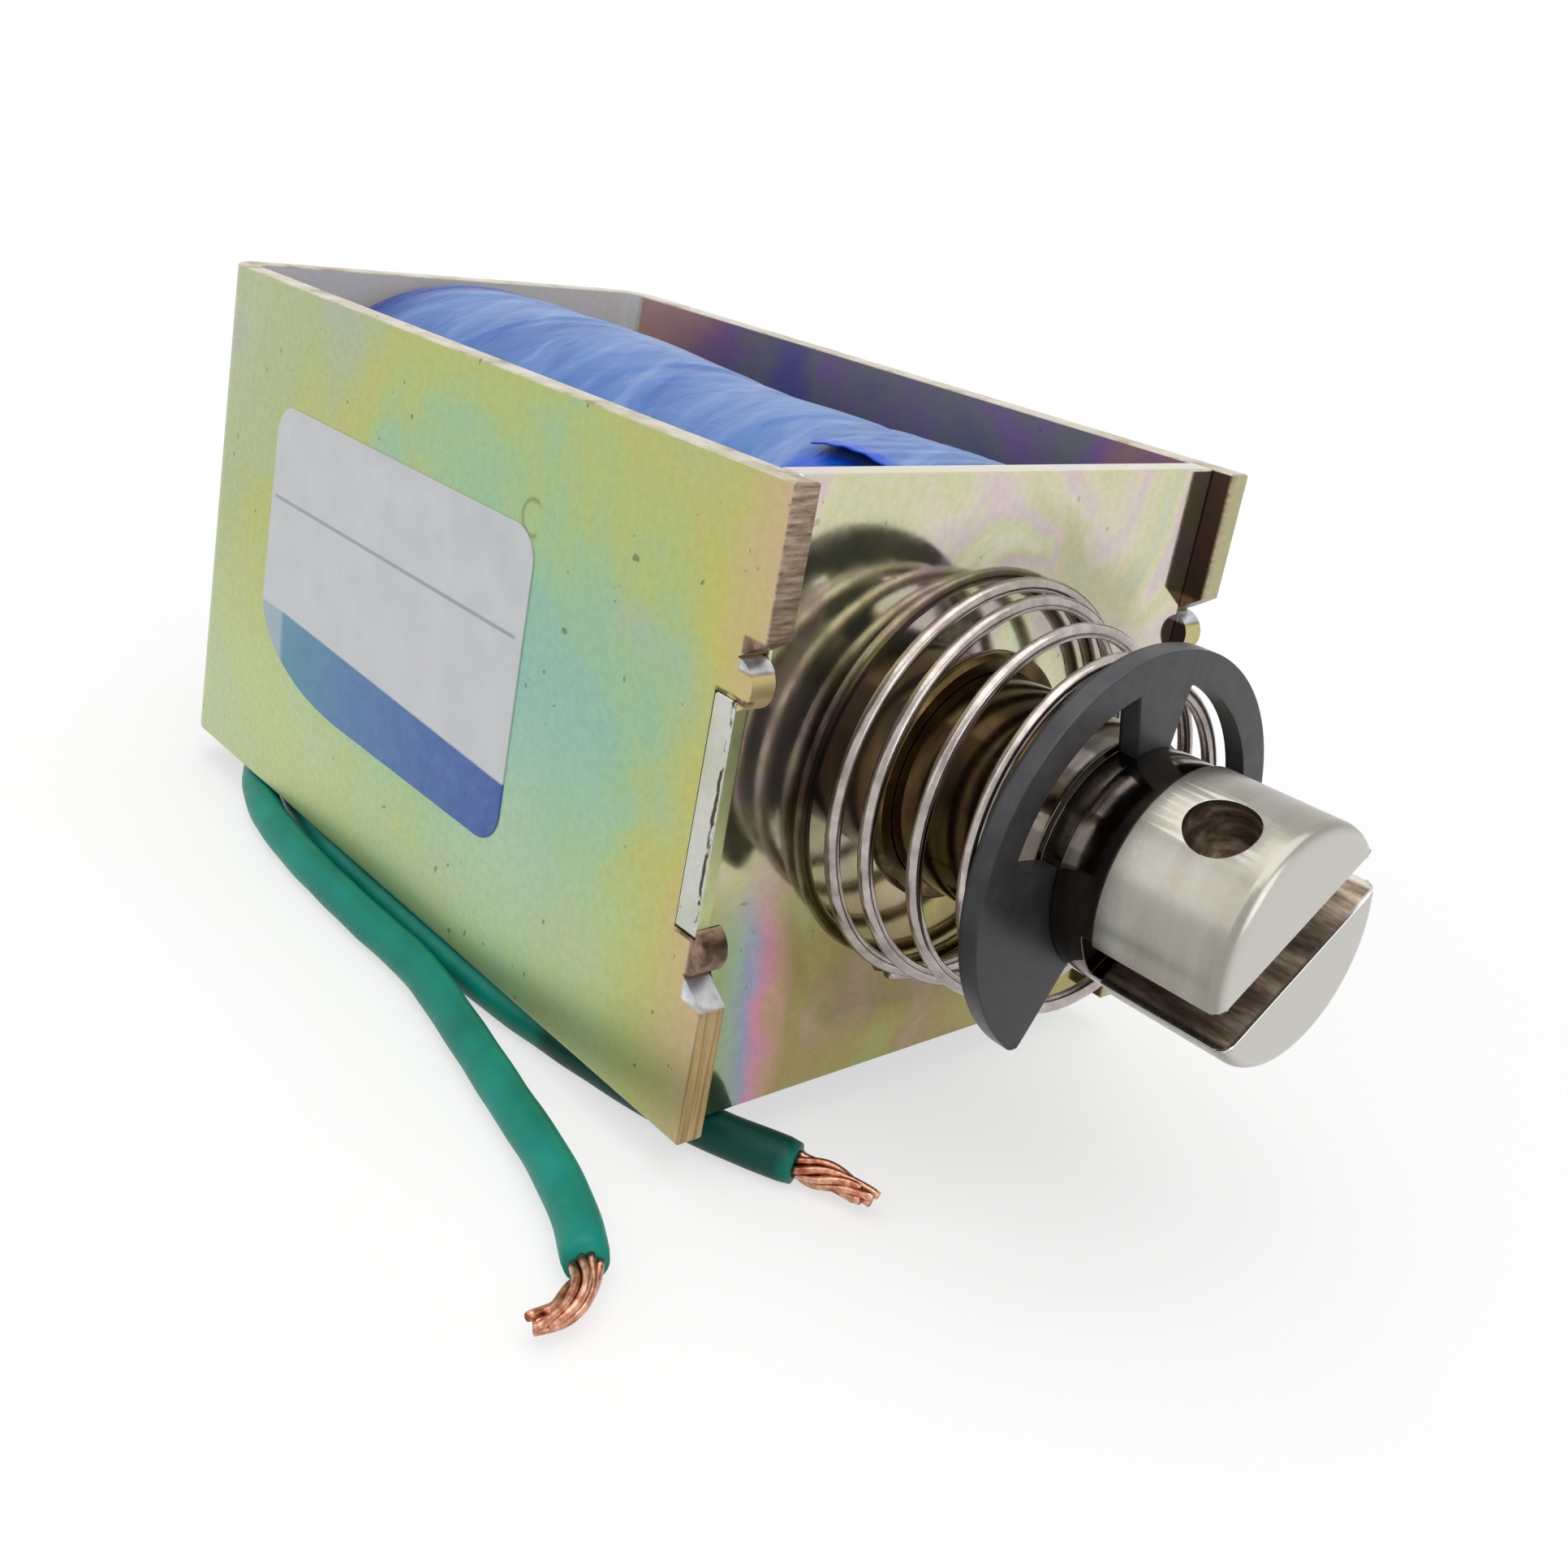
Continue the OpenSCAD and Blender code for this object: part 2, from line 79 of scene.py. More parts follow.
# The camera that was fitted to the frame's corners
LENS, SENSOR = 38.452, 36  # mm
SHIFT = (0.04798, -0.11465)
CAMERA_PLACE = (104.99, -112.43, 40.96)  # mm of the row frame
CAMERA_RIGHT = (0.62972, 0.76018, 0.15994)
CAMERA_AHEAD = (-0.71083, 0.64693, -0.27605)
CLIP = (0.005, 20)  # m


def make_camera():
    data = bpy.data.cameras.new("camera")
    data.lens, data.sensor_width = LENS, SENSOR
    data.shift_x, data.shift_y = SHIFT
    data.clip_start, data.clip_end = CLIP
    camera = bpy.data.objects.new("camera", data)
    SCENE.collection.objects.link(camera)
    right = Vector(CAMERA_RIGHT).normalized()
    ahead = Vector(CAMERA_AHEAD).normalized()
    up = right.cross(ahead).normalized()
    turn = Matrix((right, up, -ahead)).transposed()
    camera.matrix_world = Matrix.Translation(Vector(CAMERA_PLACE) * MM) @ turn.to_4x4()
    SCENE.camera = camera


make_camera()
SCENE.view_settings.view_transform = "Standard"


# ---------------------------------------------------------------- materials

def srgb(red, green, blue):
    """A colour given in 0 to 255 as the linear colour that a shader takes."""
    parts = []
    for value in (red, green, blue):
        v = value / 255
        parts.append(v / 12.92 if v <= 0.04045 else ((v + 0.055) / 1.055) ** 2.4)
    return (*parts, 1.0)


NOISE_SPAN = (0.3, 0.7)  # most of a noise texture lies between these


class Paint:
    """A procedural material, built by short calls."""

    def __init__(self, name, **values):
        self.material = bpy.data.materials.new(name)
        self.material.use_nodes = True
        self.tree = self.material.node_tree
        self.shader = self.tree.nodes["Principled BSDF"]
        self.set(**values)

    def set(self, **values):
        """Feeds the shader's own sockets, which are named with _ for each space."""
        for key, value in values.items():
            self.feed(self.shader.inputs[key.replace("_", " ")], value)

    def feed(self, socket, value):
        if isinstance(value, bpy.types.NodeSocket):
            self.tree.links.new(value, socket)
        else:
            socket.default_value = value

    def put(self, kind, inputs=None, **settings):
        node = self.tree.nodes.new("ShaderNode" + kind)
        for key, value in settings.items():
            setattr(node, key, value)
        for key, value in (inputs or {}).items():
            self.feed(node.inputs[key], value)
        return node

    def place(self, scale=(1, 1, 1), turn=(0, 0, 0), move=(0, 0, 0)):
        """Place on the object in millimetres of the row frame, scaled, turned and moved."""
        coordinate = self.put("TexCoord").outputs["Object"]
        size = tuple(s / MM for s in scale)
        return self.put("Mapping", {"Vector": coordinate, "Scale": size, "Rotation": turn,
                                    "Location": move}).outputs["Vector"]

    def local(self, scale=(1, 1, 1)):
        """Place in part.scad's measures, in mm: x from the back plate, y and z from the axis."""
        move = tuple(-o / MM * s for o, s in zip(ORIGIN, scale))
        return self.place(scale=scale, move=move)

    def inside(self, value, low, high, soft=0.1):
        """1 where value lies between low and high, falling to 0 over soft on each side."""
        up = self.span(value, low - soft / 2, low + soft / 2)
        down = self.span(value, high - soft / 2, high + soft / 2, 1.0, 0.0)
        return self.math("MULTIPLY", up, down)

    def both(self, *shares):
        """The product of the shares, which is 1 only where all of them are."""
        result = shares[0]
        for share in shares[1:]:
            result = self.math("MULTIPLY", result, share)
        return result

    def noise(self, scale, detail=3, rough=0.5, warp=0, vector=None):
        vector = vector or self.place()
        return self.put("TexNoise", {"Vector": vector, "Scale": scale, "Detail": detail,
                                     "Roughness": rough, "Distortion": warp}).outputs["Fac"]

    def axis(self, name, vector):
        return self.put("SeparateXYZ", {"Vector": vector}).outputs[name]

    def math(self, operation, a, b=0.0):
        node = self.put("Math", operation=operation)
        self.feed(node.inputs[0], a)
        self.feed(node.inputs[1], b)
        return node.outputs[0]

    def square_sum(self, a, b):
        return self.math("ADD", self.math("MULTIPLY", a, a), self.math("MULTIPLY", b, b))

    def moved(self, value, slow, low, high):
        """value, moved by low to high as the slow noise goes."""
        return self.math("ADD", value, self.span(slow, *NOISE_SPAN, low, high))

    def ramp(self, value, *stops):
        node = self.put("ValToRGB", {"Fac": value})
        band = node.color_ramp
        while len(band.elements) < len(stops):
            band.elements.new(0.5)
        for element, (where, colour) in zip(band.elements, stops):
            element.position = where
            element.color = colour
        return node.outputs["Color"]

    def span(self, value, low, high, out_low=0.0, out_high=1.0):
        """value's range low to high, as out_low to out_high."""
        return self.put("MapRange", {"Value": value, "From Min": low, "From Max": high,
                                     "To Min": out_low, "To Max": out_high}).outputs["Result"]

    def mix(self, share, a, b, blend="MIX"):
        node = self.put("Mix", data_type="RGBA", blend_type=blend)
        self.feed(node.inputs["Factor"], share)
        self.feed(node.inputs[6], a)
        self.feed(node.inputs[7], b)
        return node.outputs[2]

    def bump(self, height, depth, strength):
        """A bump whose height runs over depth millimetres."""
        return self.put("Bump", {"Height": height, "Distance": depth * MM,
                                 "Strength": strength}).outputs["Normal"]


def passivated(p, where, colour, fine, specks):
    """The colour with what all passivated zinc has: a fine crystal grain and small dark specks."""
    colour = p.mix(p.span(fine, 0.38, 0.66, 0, 0.35), colour,
                   p.mix(1.0, colour, srgb(228, 228, 226), "MULTIPLY"))
    dots = p.noise(0.85, detail=1.5, rough=0.7, vector=where)
    dots = p.moved(dots, p.noise(0.05, detail=1, vector=where), -0.05, 0.03)
    return p.mix(p.span(dots, 0.725, 0.75, 0, specks), colour, srgb(84, 80, 56))


def frame_paint():
    """The bent sheet: interference colours outside, browner inside, pale cut edges."""
    p = Paint("frame_zinc_face")
    where = p.local()
    x, y, z = (p.axis(name, where) for name in "XYZ")
    abs_y, abs_z = p.math("ABSOLUTE", y), p.math("ABSOLUTE", z)
    # Blue green round a middle beside the label, then yellow green, then paler
    wander = p.noise(0.06, detail=4, rough=0.55, warp=0.6, vector=where)
    middle_x, middle_z, reach_x, reach_z = 47, -2, 30, 25
    far = p.math("SQRT", p.square_sum(
        p.math("DIVIDE", p.math("SUBTRACT", x, middle_x), reach_x),
        p.math("DIVIDE", p.math("SUBTRACT", z, middle_z), reach_z)))
    far = p.math("ADD", far, p.span(wander, 0.25, 0.75, -0.36, 0.36))
    far = p.math("MULTIPLY", far, 0.5)
    out = p.ramp(far, (0.08, srgb(144, 188, 172)), (0.24, srgb(146, 188, 164)),
                 (0.36, srgb(158, 190, 146)), (0.46, srgb(176, 190, 118)),
                 (0.55, srgb(184, 187, 112)), (0.66, srgb(174, 187, 134)),
                 (0.95, srgb(180, 189, 150)))
    lilac = p.noise(0.075, detail=2, rough=0.4, vector=p.local((1, 1, 1.3)))
    out = p.mix(p.span(lilac, 0.6, 0.74, 0, 0.4), out, srgb(168, 174, 184))
    # Paler and greener towards the bottom: partly the sheet's own colour, partly painted light
    # that lifts the shade falling on the lower side
    low = p.math("ADD", z, p.span(wander, 0.25, 0.75, -5, 5))
    out = p.mix(p.span(low, 0, -16, 0, 0.6), out, srgb(192, 208, 158))
    rim = p.math("ADD", x, p.span(wander, 0.25, 0.75, -2.5, 2.5))
    out = p.mix(p.span(rim, 67, 73, 0, 0.65), out, srgb(194, 186, 104))
    out = p.mix(p.span(rim, 72.5, 77.5, 0, 0.8), out, srgb(204, 172, 140))
    # The side plates' inner faces are brown, and the back plate's is pale
    inner = p.both(p.inside(abs_y, 15, INNER_Y + 0.06, 0.05),
                   p.span(x, BEND_END + 0.2, BEND_END + 0.5))
    deep = p.noise(0.05, detail=3, rough=0.55, warp=0.5, vector=where)
    brown = p.ramp(deep, (0.34, srgb(112, 102, 146)), (0.47, srgb(134, 128, 124)),
                   (0.56, srgb(146, 110, 154)), (0.68, srgb(176, 132, 116)))
    brown = p.mix(p.span(x, 18, 5, 0, 0.85), brown, srgb(206, 166, 152))
    # Painted shade: dark brown on the inner faces next to the front plate, in the corner behind
    # the lips
    brown = p.mix(p.span(x, 72.5, 74.5), brown, srgb(72, 54, 46))
    colour = p.mix(inner, out, brown)
    back_inner = p.both(p.inside(x, SHEET - 0.1, BEND_END + 0.35, 0.1),
                        p.span(abs_y, INNER_Y + 0.06, INNER_Y - 0.04))
    colour = p.mix(back_inner, colour, srgb(214, 210, 204))
    p.set(Metallic=p.span(back_inner, 0, 1, 0.72, 0.05))
    # The sheared edges
    top = p.span(abs_z, HALF_H - 0.16, HALF_H - 0.06)
    edge_shade = p.noise(0.35, detail=3, vector=where)
    colour = p.mix(top, colour, p.ramp(edge_shade, (0.3, srgb(156, 142, 112)),
                                       (0.42, srgb(194, 187, 160)),
                                       (0.65, srgb(214, 209, 194))))
    lines = p.noise(0.9, detail=3, rough=0.6, vector=p.local((1, 4, 0.12)))
    hatch = p.noise(0.9, detail=4, rough=0.65, vector=p.local((1, 0.5, 3.2)))
    end = p.span(x, FRAME_END - 0.2, FRAME_END - 0.08)
    end_colour = p.ramp(hatch, (0.34, srgb(116, 94, 80)), (0.5, srgb(156, 136, 116)),
                        (0.66, srgb(186, 168, 146)))
    end_colour = p.mix(p.span(z, -8, -14), end_colour, p.ramp(
        lines, (0.34, srgb(148, 120, 72)), (0.66, srgb(188, 164, 118))))
    end_colour = p.mix(p.span(y, 21, 22), end_colour, srgb(178, 172, 132))
    colour = p.mix(end, colour, end_colour)
    # The chisel marks beside the tabs, as low, high and tone: painted shade in their dark brown
    # pits and painted highlight on their bright struck faces
    hit = p.span(x, 74.35, 74.6)
    # painted shade for the pits
    pit_shade = p.ramp(p.noise(0.9, detail=3, vector=where), (0.4, srgb(84, 64, 54)),
                  (0.6, srgb(150, 120, 100)))
    # painted highlight for the struck faces
    struck_highlight = p.ramp(p.noise(0.8, detail=3, vector=where), (0.4, srgb(176, 178, 186)),
                    (0.6, srgb(222, 226, 228)))
    for low, high, tone in ((9.9, 12.15, pit_shade), (10.0, 10.95, struck_highlight), (-11.2, -7.4, pit_shade),
                            (-12.3, -10.9, struck_highlight)):
        colour = p.mix(p.both(hit, p.inside(z, low, high, 0.2)), colour, tone)
    # Painted shade: dark lines for the cracks where the lobes were crushed against the tab
    crack_shade = p.inside(abs_z, TAB_Z - 0.15, TAB_Z + 0.3, 0.15)
    broken = p.span(p.noise(0.7, detail=3, vector=where), 0.4, 0.5)
    crack_shade = p.both(crack_shade, broken, p.span(x, 72.6, 73.0), p.span(y, 0.7 - HALF_W, 0.4 - HALF_W))
    colour = p.mix(p.math("MULTIPLY", crack_shade, 0.85), colour, srgb(72, 54, 40))
    # The coined ring beside the label, a darker green line that is painted shade of its shallow
    # groove, broken in places
    ring_x, ring_z = 51.7, 12.8
    ring = p.math("SQRT", p.square_sum(p.math("SUBTRACT", x, ring_x),
                                       p.math("SUBTRACT", z, ring_z)))
    ring = p.both(p.inside(ring, 1.15, 1.4, 0.25), p.span(y, 0.3 - HALF_W, 0.05 - HALF_W))
    ring_broken = p.span(p.noise(0.45, detail=2, vector=where), 0.42, 0.56)
    colour = p.mix(p.math("MULTIPLY", p.both(ring, ring_broken), 0.7), colour, srgb(104, 124, 96))
    fine = p.noise(1.5, detail=4, rough=0.65, vector=where)
    p.set(Base_Color=passivated(p, where, colour, fine, specks=0.6))
    p.set(Roughness=p.span(fine, *NOISE_SPAN, 0.3, 0.42))
    p.set(Normal=p.bump(p.noise(3.2, detail=3, rough=0.6, vector=where), 0.01, 0.5))
    return p.material


def plate_paint():
    """The front plate: nearly a mirror, silver yellow with pink and green patches."""
    p = Paint("plate_zinc_face", Metallic=0.95)
    where = p.local()
    x, y, z = (p.axis(name, where) for name in "XYZ")
    slow = p.noise(0.11, detail=3, rough=0.5, warp=0.9, vector=where)
    colour = p.ramp(slow, (0.3, srgb(196, 204, 180)), (0.42, srgb(208, 206, 166)),
                    (0.5, srgb(214, 206, 184)), (0.58, srgb(210, 194, 194)),
                    (0.66, srgb(204, 206, 166)), (0.76, srgb(218, 214, 194)))
    low = p.noise(0.12, detail=3, rough=0.5, warp=0.6, vector=p.local((1, 1, 0.8)))
    gold = p.ramp(low, (0.34, srgb(158, 160, 100)), (0.45, srgb(162, 152, 88)),
                  (0.55, srgb(158, 144, 94)), (0.66, srgb(170, 148, 126)))
    colour = p.mix(p.span(z, 2, -10, 0, 0.95), colour, gold)
    # A streak of colour that runs down beside the lower tab
    across = p.moved(p.math("ADD", y, p.math("MULTIPLY", z, 0.12)), slow, -1.0, 1.0)
    streak = p.ramp(p.span(across, -22.5, -14), (0.0, srgb(150, 168, 112)),
                    (0.2, srgb(146, 178, 150)), (0.36, srgb(146, 160, 192)),
                    (0.52, srgb(208, 140, 176)), (0.68, srgb(196, 152, 134)),
                    (0.85, srgb(160, 146, 96)))
    low_left = p.both(p.span(z, -4, -9), p.span(across, -13.5, -15.5))
    colour = p.mix(p.math("MULTIPLY", low_left, 0.8), colour, streak)
    # Painted reflection: a dark ring round the spring's seat, strongest beside the upper half of
    # the seat on the label's side, for the E-ring and spring mirrored in the plate
    seat = p.moved(p.math("SQRT", p.square_sum(y, z)), slow, -1.6, 1.6)
    painted_reflection = p.both(p.span(seat, 20.5, 17), p.span(seat, 9, 12))
    reflection_reach = p.both(p.span(y, -10, -16), p.inside(z, -2, 10, 5))
    painted_reflection = p.math("MULTIPLY", painted_reflection, p.span(reflection_reach, 0, 1, 0.3, 0.95))
    colour = p.mix(painted_reflection, colour, p.mix(1.0, colour, srgb(88, 76, 60), "MULTIPLY"))
    # The tab, its cut end, and a broken dark line along that
    tab = p.span(y, 1.1 - HALF_W, 0.9 - HALF_W)
    end = p.span(y, 0.2 - HALF_W, 0.08 - HALF_W)
    colour = p.mix(tab, colour, srgb(188, 196, 142))
    colour = p.mix(end, colour, p.ramp(p.noise(0.2, detail=3, vector=where),
                                       (0.4, srgb(188, 194, 172)), (0.6, srgb(204, 204, 196))))
    line_wander = p.noise(0.8, detail=3, rough=0.6, vector=p.local((1, 1, 0.6)))
    line = p.inside(p.moved(x, line_wander, -0.2, 0.12), PLATE_FACE - 0.38, PLATE_FACE - 0.08, 0.1)
    line = p.both(p.span(line_wander, 0.47, 0.52), line, p.span(y, 0.6 - HALF_W, 0.4 - HALF_W))
    colour = p.mix(line, colour, srgb(78, 70, 54))
    fine = p.noise(1.5, detail=4, rough=0.65, vector=where)
    p.set(Base_Color=passivated(p, where, colour, fine, specks=0.35))
    grain = p.noise(0.5, detail=3, rough=0.55, vector=where)
    p.set(Roughness=p.moved(p.math("MULTIPLY", tab, 0.28), grain, 0.06, 0.12))
    p.set(Normal=p.bump(p.noise(1.3, detail=3, rough=0.55, vector=where), 0.003, 0.5))
    return p.material


frame_zinc = frame_paint()
plate_zinc = plate_paint()


def simple_metal(name, dark, light, rough, scale=0.5):
    """A metal whose shade and roughness wander, with a fine grain."""
    p = Paint(name, Metallic=1.0)
    slow = p.noise(scale, detail=4, rough=0.6)
    p.set(Base_Color=p.ramp(slow, (0.32, dark), (0.68, light)))
    p.set(Roughness=p.span(slow, *NOISE_SPAN, rough + 0.06, rough - 0.04))
    p.set(Normal=p.bump(p.noise(scale * 5, detail=2), 0.01, 0.6))
    return p.material


def nickel_paint():
    """Nickel plate: satin on the forked nose, brown in its slot and hole, polished in the tube."""
    p = Paint("nickel_turned", Metallic=1.0)
    where = p.local((1, 0.2, 0.2))
    x, y, z = (p.axis(name, p.local()) for name in "XYZ")
    slow = p.noise(0.5, detail=4, rough=0.6, vector=where)
    nose = p.span(x, NOSE_BACK - 0.2, NOSE_BACK + 0.1)
    # Painted shade and reflection: the body inside the spring is dark brown, for the shaded plate
    # and dark ring that it mirrors there
    body = p.ramp(slow, (0.35, srgb(66, 55, 42)), (0.65, srgb(104, 88, 64)))
    neck = p.inside(x, 84.6, NOSE_BACK - 0.05, 1.6)
    body = p.mix(neck, body, p.ramp(slow, (0.35, srgb(70, 65, 60)), (0.65, srgb(112, 105, 96))))
    face = p.ramp(slow, (0.35, srgb(150, 147, 136)), (0.65, srgb(163, 160, 151)))
    # Painted light: the forward end face is paler than the sides
    face = p.mix(p.span(x, NOSE_END - 0.35, NOSE_END - 0.05), face, srgb(196, 194, 186))
    # The walls of the slot and the hole lie inside the nose's round surface, by its radius squared
    deep = p.both(p.span(p.square_sum(y, z), 58, 54), nose,
                  p.span(x, NOSE_END - 0.15, NOSE_END - 0.35))
    rough_cut = p.noise(0.9, detail=4, rough=0.65, vector=p.local((0.25, 1, 1)))
    brown = p.ramp(rough_cut, (0.36, srgb(104, 90, 78)), (0.5, srgb(146, 129, 112)),
                   (0.64, srgb(194, 181, 163)))
    face = p.mix(deep, face, brown)
    p.set(Base_Color=p.mix(nose, body, face))
    fine = p.noise(2.4, detail=3, rough=0.6)
    rough = p.moved(p.math("MULTIPLY", nose, 0.16), fine, 0.08, 0.14)
    p.set(Roughness=p.math("ADD", rough, p.math("MULTIPLY", deep, 0.25)))
    p.set(Normal=p.bump(p.noise(2, detail=2, vector=where), 0.0025, 0.5))
    return p.material


nickel = nickel_paint()
stainless = simple_metal("stainless_ground", srgb(168, 170, 172), srgb(196, 198, 200), 0.25)
core_steel = simple_metal("core_machined", srgb(150, 150, 148), srgb(186, 186, 182), 0.32)
tube_brass = simple_metal("tube_drawn", srgb(66, 52, 34), srgb(112, 94, 58), 0.2)
brass_sheet = simple_metal("brass_rolled", srgb(190, 158, 88), srgb(214, 184, 110), 0.28)


def oxide_paint():
    """Black oxide with painted shade: darker towards the bottom, and near black on the back face
    that the spring rubs.
    """
    p = Paint("black_oxide_face", Metallic=0.25)
    where = p.local()
    x, z = p.axis("X", where), p.axis("Z", where)
    slow = p.noise(0.5, detail=4, rough=0.6)
    colour = p.ramp(slow, (0.35, srgb(46, 45, 48)), (0.65, srgb(60, 59, 63)))
    # Painted shade: darker towards the bottom of the ring
    low = p.moved(z, slow, -1.5, 1.5)
    colour = p.mix(p.span(low, 8, -3, 0, 0.75), colour, srgb(24, 23, 25))
    # Painted shade: the back face, towards the plate, is near black
    back = p.span(x, RING_BACK + 0.35, RING_BACK + 0.15)
    p.set(Base_Color=p.mix(back, colour, srgb(12, 12, 12)))
    p.set(Roughness=p.span(p.noise(2.2, detail=4, rough=0.6), *NOISE_SPAN, 0.3, 0.4))
    p.set(Normal=p.bump(p.noise(4, detail=2), 0.008, 0.5))
    return p.material


black_oxide = oxide_paint()
spring_steel = simple_metal("spring_drawn", srgb(146, 136, 130), srgb(190, 182, 176), 0.18)
copper_wire = simple_metal("winding_enamel", srgb(150, 70, 34), srgb(190, 96, 52), 0.25)
bare_copper = simple_metal("copper_strand", srgb(150, 80, 54), srgb(232, 182, 154), 0.3,
                           scale=1.4)


def soft_plastic(name, dark, light, rough):
    """A plastic, rubber or paper with a slow shade and a fine skin."""
    p = Paint(name)
    p.set(Base_Color=p.ramp(p.noise(0.5, detail=4, rough=0.6), (0.35, dark), (0.65, light)))
    p.set(Roughness=p.span(p.noise(2), *NOISE_SPAN, rough - 0.05, rough + 0.05))
    p.set(Normal=p.bump(p.noise(4, detail=3), 0.02, 0.5))
    return p.material


bobbin_nylon = soft_plastic("nylon_moulded", srgb(206, 202, 188), srgb(226, 222, 210), 0.45)
cushion_rubber = soft_plastic("rubber_washer", srgb(34, 34, 34), srgb(52, 52, 50), 0.75)
paper_pale = soft_plastic("paper_pressed", srgb(206, 196, 168), srgb(226, 218, 194), 0.85)
sleeve_black = soft_plastic("sleeve_shrunk", srgb(20, 20, 22), srgb(40, 40, 42), 0.42)


def lead_skin():
    """Teal insulation, dusty, with painted shade where it lies below the front plate."""
    p = Paint("lead_insulation_skin", Specular_IOR_Level=0.22)
    slow = p.noise(0.18, detail=3, rough=0.5)
    colour = p.ramp(slow, (0.3, srgb(2, 112, 97)), (0.7, srgb(8, 136, 119)))
    dust = p.noise(1.3, detail=4, rough=0.7)
    colour = p.mix(p.span(dust, 0.6, 0.78, 0, 0.2), colour, srgb(48, 146, 130))
    where = p.local()
    x, y = p.axis("X", where), p.axis("Y", where)
    # Painted shade: much darker teal below the front plate
    under_plate_shade = p.both(p.inside(x, 60, 80.2, 1.6), p.span(y, -24.5, -23))
    colour = p.mix(p.math("MULTIPLY", under_plate_shade, 0.8), colour, srgb(0, 34, 27))
    p.set(Base_Color=colour, Roughness=p.span(dust, *NOISE_SPAN, 0.36, 0.5))
    p.set(Normal=p.bump(p.noise(2.2, detail=3), 0.03, 0.5))
    return p.material


def tape_film():
    """Blue polyester tape: a gloss film over overlapping turns."""
    p = Paint("blue_film_skin", Coat_Weight=0.04, Coat_Roughness=0.12, Specular_IOR_Level=0.28)
    where = p.local()
    x, y, z = (p.axis(name, where) for name in "XYZ")
    along = p.place(scale=(1, 0.35, 0.35), turn=(0, 0.5, 0.35))
    slow = p.noise(0.16, detail=4, rough=0.6, warp=0.6, vector=along)
    colour = p.ramp(slow, (0.3, srgb(52, 98, 168)), (0.5, srgb(70, 114, 180)),
                    (0.72, srgb(92, 132, 190)))
    # Long streaks of painted highlight and painted shade, a little aslant
    slant = p.put("Mapping", {"Vector": p.place(turn=(0, 0, -0.4)), "Scale": (1, 0.15, 0.3)})
    streak = p.noise(0.45, detail=3, rough=0.5, warp=0.15, vector=slant.outputs["Vector"])
    colour = p.mix(p.span(streak, 0.56, 0.74, 0, 0.6), colour, srgb(140, 160, 214))
    colour = p.mix(p.span(streak, 0.44, 0.3, 0, 0.6), colour, srgb(38, 78, 158))
    # Painted shade: dark blue towards the back end, where the tape hangs over the flange
    end = p.moved(x, slow, -3, 3)
    colour = p.mix(p.span(end, 12, 5, 0, 0.92), colour, srgb(8, 56, 140))
    # Painted shade below the lifted edge of the loose end, saturated blue for the light that comes
    # through the film
    under_flap_shade = p.both(p.inside(x, 61, 71, 1), p.inside(y, -10.5, -6.6, 0.6), p.span(z, 15, 16))
    colour = p.mix(under_flap_shade, colour, srgb(14, 80, 200))
    creases = p.noise(0.5, detail=5, rough=0.6, warp=1.2, vector=along)
    p.set(Base_Color=colour, Roughness=p.span(creases, *NOISE_SPAN, 0.26, 0.42))
    p.set(Normal=p.bump(creases, 0.3, 0.6))
    return p.material


lead_teal = lead_skin()
blue_film = tape_film()


# ---------------------------------------------------------------- mesh helpers

def new_object(name, mesh, material, smooth=True):
    piece = bpy.data.objects.new(name, mesh)
    SCENE.collection.objects.link(piece)
    mesh.materials.clear()
    mesh.materials.append(material)
    if smooth:
        mesh.polygons.foreach_set("use_smooth", [True] * len(mesh.polygons))
    return piece


def mesh_of(name, points, faces):
    mesh = bpy.data.meshes.new(name)
    mesh.from_pydata([tuple(p) for p in points], [], faces)
    mesh.validate()
    return mesh


def smooth_path(points, step):
    """A smooth line through the points, with a point about every step metres."""
    line = []
    ends = [points[0] * 2 - points[1], *points, points[-1] * 2 - points[-2]]
    for a, b, c, d in zip(ends, ends[1:], ends[2:], ends[3:]):
        count = max(2, round((c - b).length / step))
        for k in range(count):
            t = k / count
            line.append(0.5 * (2 * b + (c - a) * t + (2 * a - 5 * b + 4 * c - d) * t * t
                               + (3 * b - a - 3 * c + d) * t ** 3))
    line.append(points[-1].copy())
    return line


def rings(path, radii, sides):
    """The points of a round tube along the path, its rings turned as little as possible."""
    points = []
    side = None
    for k, middle in enumerate(path):
        ahead = (path[min(k + 1, len(path) - 1)] - path[max(k - 1, 0)]).normalized()
        if side is None:
            side = ahead.orthogonal().normalized()
        side = (side - ahead * side.dot(ahead)).normalized()
        other = ahead.cross(side)
        for i in range(sides):
            turn = 2 * math.pi * i / sides
            points.append(middle + (side * math.cos(turn) + other * math.sin(turn)) * radii[k])
    return points


def tube_faces(count, sides, first=0):
    """The faces of a tube of count rings, with both ends closed."""
    faces = []
    for k in range(count - 1):
        for i in range(sides):
            j = (i + 1) % sides
            a, b = first + k * sides, first + (k + 1) * sides
            faces.append((a + i, a + j, b + j, b + i))
    faces.append(tuple(first + i for i in reversed(range(sides))))
    last = first + (count - 1) * sides
    faces.append(tuple(last + i for i in range(sides)))
    return faces


def stands_for(piece, node, body):
    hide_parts(node)
    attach(piece, body)


# ---------------------------------------------------------------- leads

LEAD_D = 3.0
LIE_Z = -23.7  # the middle lines' height where the leads lie
LIE_SOFT = 0.08  # how softly they come down to it
LEAD_STEP, LEAD_SIDES = 0.8, 24
LEAD_WAVE = 0.012  # share of the radius
LEAD_CUT = 0.93  # the last ring's share of the radius

